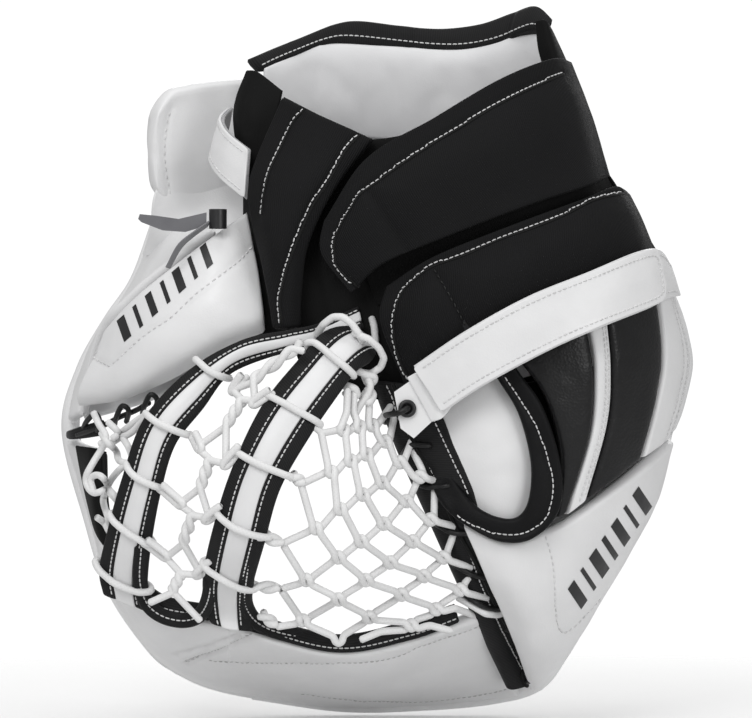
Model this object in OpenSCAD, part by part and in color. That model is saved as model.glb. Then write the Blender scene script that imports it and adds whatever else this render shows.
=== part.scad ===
// Goalie catch glove, worn on the left hand, fingers down.
// X runs from the thumb to the little finger, Z up the forearm, and the catching side faces +Y.
// The origin is the middle of the wrist opening. Every soft panel is a smooth sheet through a
// small net of control points: u runs left to right and v top to bottom, seen from outside.

/* [Leather] */
// Thickness of a padded outer panel
panel_t = 8; // [5:0.5:8]
// Thickness of a thin leather or nylon layer
skin_t = 3; // [2:0.5:3]
// Thickness of the pocket straps
strap_t = 4; // [2.5:0.5:4]
// Radius of the padded bead along the rim
bead_r = 6; // [4:0.5:6]

/* [Laces] */
// Diameter of the white pocket lace
lace_d = 4.8; // [3:0.2:4.8]
// Diameter of the black edge lace
edge_lace_d = 3.6; // [2.4:0.2:3.6]

/* [Hand] */
// Outside diameter of a finger stall
stall_d = 25; // [20:0.5:25]
// Wall of a finger stall
stall_wall = 2; // [1.5:0.5:3]
// Outside diameter of the thumb stall
thumb_stall_d = 28; // [24:0.5:28]

/* [Fasteners] */
// Thickness of the hook-and-loop strap leather
strap_leather_t = 1.6; // [1:0.2:1.6]
// Outside diameter of the strap eyelet
eyelet_d = 11; // [9:0.5:12]
// Hole of the strap eyelet
eyelet_bore_d = 5; // [4:0.5:6]

/* [Hidden] */
white = "whitesmoke";
black = "dimgray";
gray = "darkgray";

// ---------- smooth surfaces ----------

// A point of a list, mirrored past its ends
function knot(p, i) =
  i < 0 ? 2 * p[0] - p[1] :
  i > len(p) - 1 ? 2 * p[len(p) - 1] - p[len(p) - 2] : p[i];

// A Catmull-Rom curve through the points of p, t from 0 to 1
function curve(p, t) =
  let (n = len(p) - 1, x = t * n, i = max(0, min(n - 1, floor(x))), f = x - i,
       a = knot(p, i - 1), b = knot(p, i), c = knot(p, i + 1), d = knot(p, i + 2))
  0.5 * (2 * b + (c - a) * f + (2 * a - 5 * b + 4 * c - d) * f * f
         + (3 * b - a - 3 * c + d) * f * f * f);

// A point of the sheet through a net of rows
function surface_at(net, u, v) = curve([for (row = net) curve(row, u)], v);

// The outward normal of the sheet
function surface_normal(net, u, v, e = 0.01) =
  let (left = surface_at(net, u - (u > e ? e : 0), v), right = surface_at(net, u + (u < 1 - e ? e : 0), v),
       up = surface_at(net, u, v - (v > e ? e : 0)), down = surface_at(net, u, v + (v < 1 - e ? e : 0)),
       n = cross(down - up, right - left))
  n / norm(n);

// A low bump that is 0 at both ends of 0..1 and 1 in the middle
function bump(t) = 1 - pow(2 * t - 1, 4);

// A closed solid between two grids of points, each [rows][columns]
module between(outer, inner) {
  rows = len(outer);
  cols = len(outer[0]);
  n = rows * cols;
  function id(j, i, layer) = layer * n + j * cols + i;
  polyhedron(
    points = concat([for (row = outer) each row], [for (row = inner) each row]),
    faces = concat(
      [for (j = [0:rows - 2], i = [0:cols - 2]) each [
        [id(j, i, 0), id(j, i + 1, 0), id(j + 1, i + 1, 0)],
        [id(j, i, 0), id(j + 1, i + 1, 0), id(j + 1, i, 0)],
        [id(j, i, 1), id(j + 1, i + 1, 1), id(j, i + 1, 1)],
        [id(j, i, 1), id(j + 1, i, 1), id(j + 1, i + 1, 1)]]],
      [for (i = [0:cols - 2]) each [
        [id(0, i, 0), id(0, i, 1), id(0, i + 1, 1)],
        [id(0, i, 0), id(0, i + 1, 1), id(0, i + 1, 0)],
        [id(rows - 1, i, 0), id(rows - 1, i + 1, 1), id(rows - 1, i, 1)],
        [id(rows - 1, i, 0), id(rows - 1, i + 1, 0), id(rows - 1, i + 1, 1)]]],
      [for (j = [0:rows - 2]) each [
        [id(j, 0, 0), id(j + 1, 0, 1), id(j, 0, 1)],
        [id(j, 0, 0), id(j + 1, 0, 0), id(j + 1, 0, 1)],
        [id(j, cols - 1, 0), id(j, cols - 1, 1), id(j + 1, cols - 1, 1)],
        [id(j, cols - 1, 0), id(j + 1, cols - 1, 1), id(j + 1, cols - 1, 0)]]]));
}

// A sheet of a net from depth low to depth high along its normal, inside a window [u0, u1, v0, v1].
// crown swells the middle of its outer face.
module sheet(net, low, high, window = [0, 1, 0, 1], nu = 8, nv = 8, crown = 0) {
  function grid(d, c) = [for (j = [0:nv]) [for (i = [0:nu])
    let (u = window[0] + (window[1] - window[0]) * i / nu,
         v = window[2] + (window[3] - window[2]) * j / nv)
    surface_at(net, u, v) + (d + c * bump(i / nu) * bump(j / nv)) * surface_normal(net, u, v)]];
  between(grid(high, crown), grid(low, 0));
}

// A round tube along the curve through path, which nowhere runs along ref
module tube(path, r, rings = 12, sides = 8, ref = [0, 1, 0]) {
  function ring(k) =
    let (t = k / rings, p = curve(path, t),
         ahead = curve(path, min(1, t + 0.01)) - curve(path, max(0, t - 0.01)),
         along = ahead / norm(ahead), side = cross(along, ref), a = side / norm(side), b = cross(along, a))
    [for (s = [0:sides - 1]) p + r * (cos(360 * s / sides) * a + sin(360 * s / sides) * b)];
  n = rings + 1;
  function id(k, s) = k * sides + s % sides;
  polyhedron(
    points = [for (k = [0:rings]) each ring(k)],
    faces = concat(
      [[for (s = [0:sides - 1]) s]],
      [for (k = [0:rings - 1], s = [0:sides - 1]) each [
        [id(k, s), id(k + 1, s), id(k + 1, s + 1)],
        [id(k, s), id(k + 1, s + 1), id(k, s + 1)]]],
      [[for (s = [sides - 1:-1:0]) (n - 1) * sides + s]]));
}

// A straight hollow stall from p to q
module stall(p, q, d, wall) {
  v = q - p;
  length = norm(v);
  translate(p)
    rotate([0, acos(v[2] / length), atan2(v[1], v[0])])
      difference() {
        cylinder(d = d, h = length, $fn = 48);
        translate([0, 0, -1]) cylinder(d = d - 2 * wall, h = length + 2, $fn = 48);
      }
}

// ---------- control nets ----------

palm_net = [
  [[108, 66, -10], [66, 58, -10], [18, 50, -10], [-24, 42, -10]],
  [[136, 76, -70], [86, 54, -75], [34, 40, -78], [-26, 28, -80]],
  [[157, 90, -150], [108, 58, -155], [52, 38, -160], [10, 18, -168]],
  [[142, 92, -216], [108, 66, -222], [70, 42, -228], [34, 16, -234]],
  [[115, 94, -266], [96, 76, -271], [77, 58, -276], [57, 34, -282]],
  [[93, 92, -298], [87, 80, -301], [80, 68, -304], [71, 56, -308]]];

crease_net = [
  [[-32, 40, -14], [-55, 30, -40], [-78, 20, -62]],
  [[-34, 28, -80], [-56, 16, -94], [-78, 8, -104]],
  [[-28, 16, -136], [-52, 4, -134], [-80, -4, -132]]];

finger_back_net = [
  [[37, -38, -243], [66, -43, -254], [98, -38, -244], [138, -20, -218],
   [168, 10, -196], [171, 55, -192], [171, 98, -190]],
  [[50, -26, -272], [74, -31, -281], [105, -24, -274], [140, 0, -252],
   [158, 30, -237], [158, 65, -238], [156, 98, -238]],
  [[64, 0, -304], [82, -8, -310], [103, 0, -310], [124, 20, -294],
   [132, 45, -285], [131, 72, -288], [128, 98, -290]],
  [[75, 28, -330], [83, 25, -336], [94, 30, -337], [104, 42, -330],
   [108, 60, -324], [107, 80, -327], [105, 98, -330]],
  [[83, 60, -350], [84, 60, -352], [86, 60, -353], [89, 64, -353],
   [91, 72, -352], [91, 85, -352], [90, 98, -353]]];

// Columns 0 to 6: tongue side, stripe, stripe, stripe, outline, side wall, rim
stripe_net = [
  [[58, -57, -145], [113, -58, -120], [126, -53, -114], [158, -26, -101],
   [168, -4, -100], [172, 45, -98], [168, 98, -100]],
  [[80, -58, -170], [118, -54, -150], [129, -49, -148], [162, -20, -140],
   [180, 12, -136], [182, 55, -134], [178, 98, -132]],
  [[93, -50, -205], [116, -46, -188], [127, -42, -182], [158, -18, -168],
   [178, 15, -162], [181, 58, -160], [178, 98, -158]],
  [[94, -42, -240], [101, -40, -238], [114, -37, -229], [149, -18, -204],
   [169, 12, -191], [173, 55, -187], [173, 98, -184]]];

tongue_net = [
  [[27, -45, -173], [44, -50, -163], [58, -52, -156]],
  [[28, -45, -190], [52, -53, -186], [75, -50, -184]],
  [[37, -42, -215], [60, -50, -213], [82, -43, -211]],
  [[47, -36, -237], [63, -41, -241], [78, -38, -237]]];

opening_binding_net = [
  [[58, -61, -153], [71, -62, -149]],
  [[71, -61, -175], [86, -62, -171]],
  [[79, -57, -204], [97, -55, -204]],
  [[78, -54, -227], [97, -52, -233]],
  [[71, -51, -238], [81, -51, -251]],
  [[59, -50, -238], [60, -51, -253]],
  [[47, -47, -232], [38, -47, -242]]];

index_net = [
  [[-8, 8, -160], [-16, -15, -158], [-12, -42, -156], [8, -44, -158]],
  [[8, 8, -200], [-1, -12, -198], [3, -36, -196], [25, -38, -192]],
  [[28, 10, -245], [19, -8, -243], [24, -26, -241], [45, -26, -238]],
  [[54, 35, -300], [44, 15, -298], [49, -1, -297], [66, 9, -294]],
  [[76, 80, -348], [69, 68, -350], [72, 62, -352], [84, 70, -350]]];

backhand_net = [
  [[-8, -48, -98], [20, -58, -80], [70, -60, -60], [110, -45, -45], [132, -22, -36], [140, 5, -40]],
  [[-12, -50, -120], [25, -64, -110], [72, -68, -88], [112, -54, -70], [138, -26, -55], [148, 5, -56]],
  [[-2, -50, -150], [28, -64, -138], [72, -68, -115], [112, -58, -95], [144, -30, -78], [156, 0, -74]]];

wrist_pad_net = [
  [[-46, -44, -58], [-20, -50, -20], [20, -54, 4], [60, -48, 28], [92, -25, 42], [104, 5, 42]],
  [[-48, -46, -78], [-18, -56, -50], [30, -62, -28], [75, -55, -8], [105, -28, 6], [117, 5, 8]],
  [[-30, -46, -102], [-10, -54, -84], [28, -60, -68], [75, -58, -50], [110, -40, -38], [128, -5, -30]]];

wing_net = [
  [[-72, -24, 20], [-50, -36, 8], [-28, -40, -2], [-16, -40, -8]],
  [[-92, -26, -30], [-74, -40, -32], [-54, -46, -36], [-40, -42, -40]],
  [[-94, -30, -60], [-80, -44, -66], [-66, -48, -70], [-56, -42, -74]],
  [[-84, -42, -120], [-76, -47, -120], [-68, -48, -120], [-60, -44, -120]]];

gusset_net = [
  [[-96, 7, 38], [-88, -1, 36], [-74, -10, 24]],
  [[-104, 6, 14], [-95, -6, 10], [-81, -12, 4]],
  [[-102, 4, -10], [-97, -6, -12], [-88, -12, -14]],
  [[-98, 4, -38], [-97, -6, -40], [-94, -12, -42]]];

liner_net = [
  [[-40, -24, -8], [0, -32, -5], [40, -34, 10], [78, -20, 26]],
  [[-58, -24, -60], [-10, -32, -62], [40, -38, -55], [95, -22, -35]],
  [[-66, -26, -114], [-20, -32, -130], [30, -38, -135], [85, -34, -112]]];

strap_net = [
  [[8, -64, -146], [39, -72, -125], [76, -76, -104.5], [113, -66, -89.5],
   [143, -44, -77], [158, -22, -75], [167, 2, -84]],
  [[26, -64, -174], [51, -72, -157.5], [89, -76, -137], [121, -69, -123],
   [149, -48, -112], [164, -26, -105], [173, 2, -103]]];

wrist_strap_net = [
  [[-106, 24, 16], [-111, 8, 8], [-106, -8, -2], [-99, -17, -9]],
  [[-112, 28, -14], [-118, 10, -18], [-111, -8, -30], [-101, -19, -40]]];

thumb_back_net = [
  [[-184, 8, -124], [-166, -6, -105], [-140, -16, -84], [-116, -18, -66], [-98, -8, -54]],
  [[-196, 14, -150], [-165, -16, -132], [-136, -30, -114], [-110, -32, -94], [-93, -18, -84]],
  [[-202, 20, -164], [-170, -12, -156], [-140, -28, -142], [-110, -36, -124], [-90, -30, -114]],
  [[-202, 32, -172], [-172, 2, -168], [-142, -14, -156], [-112, -26, -138], [-90, -22, -126]]];

// Rim first, because the panel is seen from the thumb's outer side
thumb_side_net = [
  [[-214, 100, -182], [-204, 100, -150], [-190, 100, -122], [-172, 100, -92], [-158, 98, -54]],
  [[-210, 64, -180], [-201, 60, -147], [-183, 56, -117], [-163, 50, -88], [-142, 46, -56]],
  [[-203, 40, -177], [-188, 22, -122], [-168, 8, -101], [-140, 0, -78], [-116, -4, -60]]];

thumb_inner_net = [
  [[-84, 30, -66], [-104, 42, -68], [-124, 64, -70], [-138, 90, -72]],
  [[-84, 26, -100], [-112, 38, -104], [-144, 60, -110], [-166, 90, -114]],
  [[-88, 14, -130], [-120, 26, -140], [-158, 52, -148], [-188, 90, -154]],
  [[-96, 2, -142], [-124, 12, -158], [-164, 44, -172], [-200, 90, -182]]];

thumb_tip_net = [
  [[-213, 85, -188], [-209, 50, -187], [-200, 34, -184], [-186, 18, -180]],
  [[-213, 85, -193], [-208, 50, -193], [-199, 34, -192], [-187, 20, -190]]];

strap_thumb_net = [
  [[-50, -50, -124], [-51, -52, -131], [-52, -50, -138]],
  [[-68, -52, -124], [-71, -54, -132], [-75, -52, -140]],
  [[-96, -54, -130], [-100, -58, -140], [-104, -54, -152]],
  [[-128, -58, -148], [-124, -64, -160], [-119, -60, -172]],
  [[-156, -56, -178], [-146, -64, -186], [-136, -62, -194]],
  [[-170, -48, -215], [-157, -57, -219], [-145, -56, -222]],
  [[-180, -32, -248], [-166, -41, -252], [-152, -41, -255]],
  [[-186, -14, -272], [-171, -18, -278], [-156, -20, -283]],
  [[-184, -4, -288], [-170, -8, -294], [-154, -10, -299]]];

strap_finger_net = [
  [[-40, -46, -117], [-26, -46, -122], [-11, -44, -131]],
  [[-46, -60, -121], [-32, -66, -129], [-16, -64, -139]],
  [[-62, -71, -142], [-48, -78, -151], [-33, -76, -160]],
  [[-84, -80, -170], [-70, -88, -180], [-54, -86, -188]],
  [[-102, -82, -208], [-88, -90, -214], [-72, -88, -220]],
  [[-114, -70, -245], [-98, -78, -250], [-82, -76, -254]],
  [[-121, -42, -276], [-105, -48, -280], [-90, -46, -282]],
  [[-120, -21, -296], [-106, -24, -299], [-91, -23, -299]],
  [[-117, -18, -305], [-105, -20, -309], [-90, -19, -310]]];

net_finger_net = [
  [[-33, -78, -168], [-29, -70, -170], [-24, -60, -172]],
  [[-48, -84, -190], [-30, -75, -190], [-10, -50, -189]],
  [[-64, -86, -222], [-32, -82, -220], [2, -44, -216]],
  [[-76, -76, -254], [-30, -76, -252], [16, -36, -246]],
  [[-84, -46, -282], [-28, -56, -284], [34, -16, -278]],
  [[-84, -26, -296], [-26, -30, -304], [38, -12, -292]]];

net_middle_net = [
  [[-106, -62, -164], [-96, -74, -166], [-86, -84, -172]],
  [[-130, -64, -196], [-118, -76, -200], [-104, -85, -206]],
  [[-142, -58, -232], [-130, -68, -238], [-118, -72, -244]],
  [[-148, -40, -264], [-136, -46, -270], [-124, -44, -276]]];

net_thumb_net = [
  [[-152, -22, -168], [-151, -36, -169], [-150, -50, -172]],
  [[-176, -4, -190], [-170, -24, -190], [-163, -47, -192]],
  [[-184, 8, -220], [-180, -12, -222], [-175, -38, -222]],
  [[-184, 0, -248], [-184, -10, -252], [-184, -22, -256]]];

// The bands start at the edge that their binding covers and end at the rim
band_thumb_net = [
  [[-185, 36, -200], [-182, 22, -238], [-170, 6, -266], [-148, -2, -287], [-116, -6, -294]],
  [[-193, 42, -198], [-189, 26, -241], [-178, 10, -275], [-152, -2, -299], [-117, -8, -306]],
  [[-202, 62, -197], [-194, 52, -242], [-182, 40, -282], [-156, 30, -318], [-122, 24, -329]],
  [[-209, 82, -196], [-197, 78, -244], [-184, 72, -288], [-158, 66, -327], [-130, 62, -342]],
  [[-214, 99, -194], [-199, 99, -244], [-184, 99, -290], [-159, 99, -330], [-138, 99, -346]]];

band_finger_net = [
  [[-96, -8, -298], [-40, -10, -312], [4, -6, -304], [34, 0, -294]],
  [[-97, -8, -311], [-40, -8, -325], [6, -4, -318], [38, 4, -307]],
  [[-96, 22, -331], [-38, 22, -343], [10, 28, -337], [46, 34, -326]],
  [[-94, 62, -349], [-37, 64, -358], [14, 68, -355], [54, 70, -348]],
  [[-94, 99, -358], [-36, 99, -366], [18, 99, -365], [62, 99, -361]]];

band_gusset_net = [
  [[-113, -6, -296], [-106, -8, -297], [-99, -8, -298]],
  [[-114, -8, -306], [-107, -9, -309], [-100, -8, -311]],
  [[-119, 24, -329], [-109, 23, -331], [-99, 22, -331]],
  [[-127, 62, -343], [-112, 62, -347], [-97, 62, -349]],
  [[-135, 99, -347], [-116, 99, -354], [-97, 99, -358]]];

cuff_lining_net = [
  [[-84, 20, 40], [-50, 44, 56], [-5, 56, 56], [40, 54, 54], [78, 36, 62], [90, 16, 58]],
  [[-84, 22, 26], [-50, 48, 30], [-5, 62, 28], [40, 60, 28], [80, 42, 36], [94, 18, 40]],
  [[-80, 26, 6], [-50, 52, 2], [-5, 66, -2], [45, 64, -2], [88, 50, 8], [100, 28, 18]]];

cuff_shield_net = [
  [[-149, 26, 25], [-118, 44, 33], [-60, 68, 38], [0, 82, 40], [60, 80, 40], [100, 62, 38]],
  [[-155, 28, -8], [-118, 46, -8], [-60, 70, -8], [0, 84, -8], [60, 82, -8], [106, 64, -8]],
  [[-152, 34, -42], [-118, 50, -44], [-60, 72, -44], [0, 86, -44], [60, 86, -44], [110, 72, -42]]];

rim_thumb_path = [[-154, 107, -54], [-168, 107, -92], [-186, 107, -119], [-203, 107, -150],
  [-212, 107, -188], [-198, 107, -244], [-183, 107, -290], [-157, 107, -328], [-140, 107, -341]];

rim_finger_path = [[-94, 107, -356], [-36, 107, -364], [18, 107, -363], [60, 107, -359],
  [88, 107, -351], [104, 107, -331], [128, 107, -290], [154, 107, -240], [170, 107, -192],
  [176, 107, -145], [165, 107, -100], [146, 100, -60], [120, 90, -24]];

cuff_binding_path = [[-87, 20, 49], [-70, 34, 58], [-45, 47, 66], [-5, 56, 64], [40, 54, 62], [70, 42, 69],
  [86, 26, 71], [97, 12, 60]];

// ---------- hand and finger side ----------

module palm_panel() { color(white) sheet(palm_net, -12, -7, nu = 9, nv = 14); }
module palm_stiffener() { color(gray) sheet(palm_net, -6, -4, [0.12, 0.88, 0.06, 0.86], 8, 10); }
module palm_felt() { color(gray) sheet(palm_net, -3, 0, [0.12, 0.88, 0.06, 0.86], 8, 10); }
module palm_crease() { color(white) sheet(crease_net, -3, 0, nu = 6, nv = 6); }

module finger_back_panel() { color(white) sheet(finger_back_net, -panel_t, 0, nu = 14, nv = 10); }
module finger_side_wall() { color(white) sheet(stripe_net, -panel_t, 0, [4.04 / 6, 1, 0, 0.985], 5, 8); }

// Two black leather panels
module finger_cover() {
  color(black) {
    sheet(stripe_net, -panel_t, 0, [0.2 / 6, 0.98 / 6, 0, 1], 4, 8);
    sheet(stripe_net, -panel_t, 0, [2.02 / 6, 2.98 / 6, 0, 1], 4, 8);
  }
}

// The white stripes between and beside them
module finger_stripes() {
  color(white) {
    sheet(stripe_net, -panel_t, 0, [1.02 / 6, 1.98 / 6, 0, 1], 3, 8);
    sheet(stripe_net, -panel_t, 0, [3.02 / 6, 3.98 / 6, 0, 1], 3, 8);
  }
}

module finger_tongue() { color(white) sheet(tongue_net, -6, 0, nu = 6, nv = 8, crown = 3); }
module finger_opening_binding() { color(black) sheet(opening_binding_net, -5, 0, nu = 2, nv = 14); }
module index_edge_binding() { color(black) sheet(index_net, -skin_t, 0, nu = 8, nv = 14); }

// Short turns of black lace over the finger edge
module index_edge_lace() {
  turns = 7;
  color(black)
    for (k = [0:turns - 1])
      let (v = 0.12 + 0.68 * k / (turns - 1), lift = edge_lace_d / 2 + 0.4)
        tube([for (u = [0.3, 0.45, 0.6, 0.75])
               surface_at(index_net, u, v + 0.02 * u) + lift * surface_normal(index_net, u, v)],
             edge_lace_d / 2, 6, 6, [0, 0, 1]);
}

// Index, middle, ring and little finger, each from its mouth to its tip
module finger_stalls() {
  mouths = [[26, -18, -162], [54, -16, -158], [82, -14, -154], [110, -8, -150]];
  tips = [[46, -10, -232], [73, -6, -236], [99, -2, -230], [125, 6, -214]];
  color(black)
    for (k = [0:3]) stall(mouths[k], tips[k], stall_d, stall_wall);
}

module backhand_pad_cover() { color(black) sheet(backhand_net, -1, 1, nu = 12, nv = 6); }
module backhand_pad_foam() { color(gray) sheet(backhand_net, -9, -2, [0.03, 0.97, 0.06, 0.94], 12, 5); }

module wrist_pad_cover() { color(black) sheet(wrist_pad_net, -1, 1, nu = 12, nv = 6); }
module wrist_pad_foam() { color(gray) sheet(wrist_pad_net, -8, -2, [0.03, 0.97, 0.06, 0.94], 12, 5); }

module wrist_wing() { color(black) sheet(wing_net, -7, 0, nu = 8, nv = 10); }
module wrist_gusset() { color(black) sheet(gusset_net, -skin_t, 0, nu = 5, nv = 8); }
module wrist_liner() { color(black) sheet(liner_net, -skin_t, 0, nu = 8, nv = 8); }

// ---------- straps ----------

// The strap lies in layers: leather, loop pile, hook pile, flap leather
pile_t = 0.7;
pile_gap = 0.4;
layer_gap = 0.2;
loop_low = strap_leather_t + layer_gap;
hook_low = loop_low + pile_t + pile_gap;
flap_low = hook_low + pile_t + layer_gap;

module strap_base() { color(white) sheet(strap_net, 0, strap_leather_t, nu = 25, nv = 1); }
module strap_loop_pile() {
  color(gray) sheet(strap_net, loop_low, loop_low + pile_t, [0.32, 0.72, 0.1, 0.9], 10, 1);
}
module strap_hook_pile() {
  color(gray) sheet(strap_net, hook_low, hook_low + pile_t, [0.4, 0.72, 0.1, 0.9], 8, 1);
}
module strap_flap() {
  color(white) sheet(strap_net, flap_low, flap_low + strap_leather_t, [0, 0.76, 0.02, 0.98], 19, 1);
}

// The tab that laces the strap to the finger edge
anchor_y = -60;
eyelet_at = [4, anchor_y, -172];
module strap_anchor() {
  color(white)
    translate([0, anchor_y, 0])
      rotate([90, 0, 0])
        linear_extrude(2)
          difference() {
            polygon([[-4, -162], [9, -153], [22, -177], [8, -190], [0, -184]]);
            translate([eyelet_at[0], eyelet_at[2]]) circle(d = eyelet_bore_d + 2, $fn = 32);
          }
}

module anchor_eyelet() {
  color(black)
    translate(eyelet_at + [0, -3.6, 0])
      rotate([90, 0, 0])
        rotate_extrude($fn = 48)
          translate([(eyelet_d + eyelet_bore_d) / 4, 0])
            circle(d = (eyelet_d - eyelet_bore_d) / 2, $fn = 24);
}

// Black lace from the eyelet round the finger edge
module anchor_lace() {
  color(black)
    tube([eyelet_at + [0, -1, 0], [4, -67, -172], [0, -70, -171], [-8, -69, -169], [-17, -56, -166],
          [-21, -34, -164], [-18, -14, -163]], edge_lace_d / 2, 18, 6, [0, 0, 1]);
}

module wrist_strap() { color(white) sheet(wrist_strap_net, 0, 1.6, nu = 8, nv = 4); }
module wrist_strap_felt() { color(gray) sheet(wrist_strap_net, -1.8, -0.2, nu = 8, nv = 4); }

// ---------- thumb side ----------

module thumb_back_panel() { color(white) sheet(thumb_back_net, -panel_t, 0, nu = 12, nv = 10); }
module thumb_side_panel() { color(white) sheet(thumb_side_net, -7, 0, nu = 12, nv = 6); }
module thumb_inner_panel() { color(white) sheet(thumb_inner_net, -5, 0, nu = 9, nv = 9); }
module thumb_foam() { color(gray) sheet(thumb_back_net, -13, -8.5, [0.12, 0.85, 0.12, 0.8], 8, 6); }
module thumb_stall() { color(black) stall([-96, 6, -90], [-150, 24, -128], thumb_stall_d, stall_wall); }
module thumb_tip_binding() { color(black) sheet(thumb_tip_net, -skin_t, 0, nu = 8, nv = 2); }

// Grey pull tab of the thumb strap, with the roller that it passes
ring_at = [-112, -24, -55];
module pull_tab() {
  color(gray)
    translate([0, ring_at[1] + 1, 0])
      rotate([90, 0, 0])
        linear_extrude(2)
          polygon([[-119, -52], [-119, -60], [-132, -64], [-146, -63], [-159, -58], [-161, -56],
                   [-160, -53], [-150, -54], [-136, -56]]);
}
module pull_tab_ring() {
  color(black)
    translate(ring_at - [0, 0, 7])
      difference() {
        cylinder(d = 11, h = 12, $fn = 40);
        translate([0, 0, -1]) cylinder(d = 5, h = 14, $fn = 40);
      }
}

// ---------- pocket ----------

module pocket_strap_thumb_side() { color(black) sheet(strap_thumb_net, -strap_t, 0, nu = 4, nv = 20); }
module pocket_strap_finger_side() { color(black) sheet(strap_finger_net, -strap_t, 0, nu = 4, nv = 20); }

// One lace across a net from [u, v] to [u, v], kept at height lift above it
module strand(net, from, to, lift, rings) {
  steps = 6;
  tube([for (k = [0:steps])
         let (p = from + (to - from) * k / steps)
         surface_at(net, p[0], p[1]) + lift * surface_normal(net, p[0], p[1])],
       lace_d / 2, rings, 6);
}

// A diamond net: one family of laces leans right and the other, a lace higher, leans left
module diamond_net(net, rows, lean, rings = 10) {
  above = lace_d + 0.2;
  for (k = [0:rows - 1])
    let (v = (k + 0.3) / rows) {
      if (v + lean <= 1) strand(net, [0, v], [1, v + lean], 0, rings);
      if (v + lean <= 1) strand(net, [1, v], [0, v + lean], above, rings);
    }
}

module net_finger_side() { color(white) diamond_net(net_finger_net, 9, 0.34); }
module net_middle() { color(white) diamond_net(net_middle_net, 5, 0.2, 6); }
module net_thumb_side() { color(white) diamond_net(net_thumb_net, 5, 0.25, 6); }

// Each band is padded, and its back edge is wrapped in a binding
binding_v = 0.2;
module band(net, nu) { color(white) sheet(net, -panel_t, 0, [0, 1, binding_v + 0.04, 1], nu, 8); }
module band_edge(net, nu) { color(black) sheet(net, -4, 1, [0, 1, 0, binding_v], nu, 3); }
module rim_band_thumb_side() { band(band_thumb_net, 14); }
module rim_band_finger_side() { band(band_finger_net, 12); }
module band_binding_thumb_side() { band_edge(band_thumb_net, 14); }
module band_binding_finger_side() { band_edge(band_finger_net, 12); }
module rim_band_gusset() { color(white) sheet(band_gusset_net, -5, 0, nu = 4, nv = 8); }
module rim_bead_thumb_side() { color(white) tube(rim_thumb_path, bead_r, 28, 8); }
module rim_bead_finger_side() { color(white) tube(rim_finger_path, bead_r, 36, 8); }

// ---------- cuff ----------

module cuff_lining() { color(white) sheet(cuff_lining_net, -skin_t, 0, nu = 14, nv = 6); }
module cuff_foam() { color(gray) sheet(cuff_lining_net, -10, -4, [0.04, 0.96, 0.08, 0.95], 12, 5); }
module cuff_shield() { color(white) sheet(cuff_shield_net, -12, 0, nu = 14, nv = 6); }
module cuff_binding() { color(black) tube(cuff_binding_path, 4, 24, 8, [0, 0, 1]); }
module cuff_side_gusset() {
  color(black)
    sheet([[[97, 30, 58], [99, 14, 54]], [[101, 32, 44], [104, 14, 40]], [[106, 34, 20], [111, 14, 12]]],
          -2, 0, nu = 3, nv = 6);
}

palm_panel();
palm_stiffener();
palm_felt();
palm_crease();
finger_back_panel();
finger_side_wall();
finger_cover();
finger_stripes();
finger_tongue();
finger_opening_binding();
index_edge_binding();
index_edge_lace();
finger_stalls();
backhand_pad_cover();
backhand_pad_foam();
wrist_pad_cover();
wrist_pad_foam();
wrist_wing();
wrist_gusset();
wrist_liner();
strap_base();
strap_loop_pile();
strap_flap();
strap_hook_pile();
strap_anchor();
anchor_eyelet();
anchor_lace();
wrist_strap();
wrist_strap_felt();
thumb_back_panel();
thumb_side_panel();
thumb_inner_panel();
thumb_foam();
thumb_stall();
thumb_tip_binding();
pull_tab();
pull_tab_ring();
pocket_strap_thumb_side();
pocket_strap_finger_side();
net_thumb_side();
net_middle();
net_finger_side();
rim_band_thumb_side();
rim_band_finger_side();
rim_band_gusset();
band_binding_thumb_side();
band_binding_finger_side();
rim_bead_thumb_side();
rim_bead_finger_side();
cuff_lining();
cuff_foam();
cuff_shield();
cuff_binding();
cuff_side_gusset();
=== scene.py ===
import bpy
import numpy as np
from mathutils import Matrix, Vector, noise
from mathutils.bvhtree import BVHTree


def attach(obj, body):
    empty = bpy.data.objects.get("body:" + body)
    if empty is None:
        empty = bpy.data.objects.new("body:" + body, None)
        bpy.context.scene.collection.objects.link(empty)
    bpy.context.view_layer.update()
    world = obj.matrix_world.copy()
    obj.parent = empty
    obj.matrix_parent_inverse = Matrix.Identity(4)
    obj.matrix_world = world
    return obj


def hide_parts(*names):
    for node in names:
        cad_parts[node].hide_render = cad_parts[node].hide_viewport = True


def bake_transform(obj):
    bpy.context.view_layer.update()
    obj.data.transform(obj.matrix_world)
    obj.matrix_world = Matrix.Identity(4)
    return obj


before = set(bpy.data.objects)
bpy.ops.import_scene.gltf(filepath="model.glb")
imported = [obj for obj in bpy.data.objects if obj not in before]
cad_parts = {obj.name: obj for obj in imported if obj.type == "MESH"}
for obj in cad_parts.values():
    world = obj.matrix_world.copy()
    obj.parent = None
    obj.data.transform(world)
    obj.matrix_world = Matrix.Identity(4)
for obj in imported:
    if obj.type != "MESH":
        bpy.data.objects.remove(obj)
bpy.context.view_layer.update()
MM = 0.001
EYE = np.array([-14.9, -2590.0, -142.0])  # the viewer, in millimetres
NEAR_SIDE = 2550  # from the viewer to the glove's near side, along Y
PANEL = 8.0  # thickness of a padded outer panel, as in the CAD
SKIN = 3.0  # thickness of a thin leather layer, as in the CAD
BEAD_R = 6.0  # radius of the rim's bead, as in the CAD
LACE = 2.25  # radius of the white pocket lace
scene = bpy.context.scene

# ---------- camera, light, stage ----------

camera = bpy.data.objects.new("camera", bpy.data.cameras.new("camera"))
camera.location = Vector(EYE) * MM
camera.rotation_euler = (np.pi / 2, 0, 0)
camera.data.lens = 200
camera.data.sensor_width = 36
camera.data.clip_end = 50
scene.collection.objects.link(camera)
scene.camera = camera
scene.view_settings.view_transform = "Standard"

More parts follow.
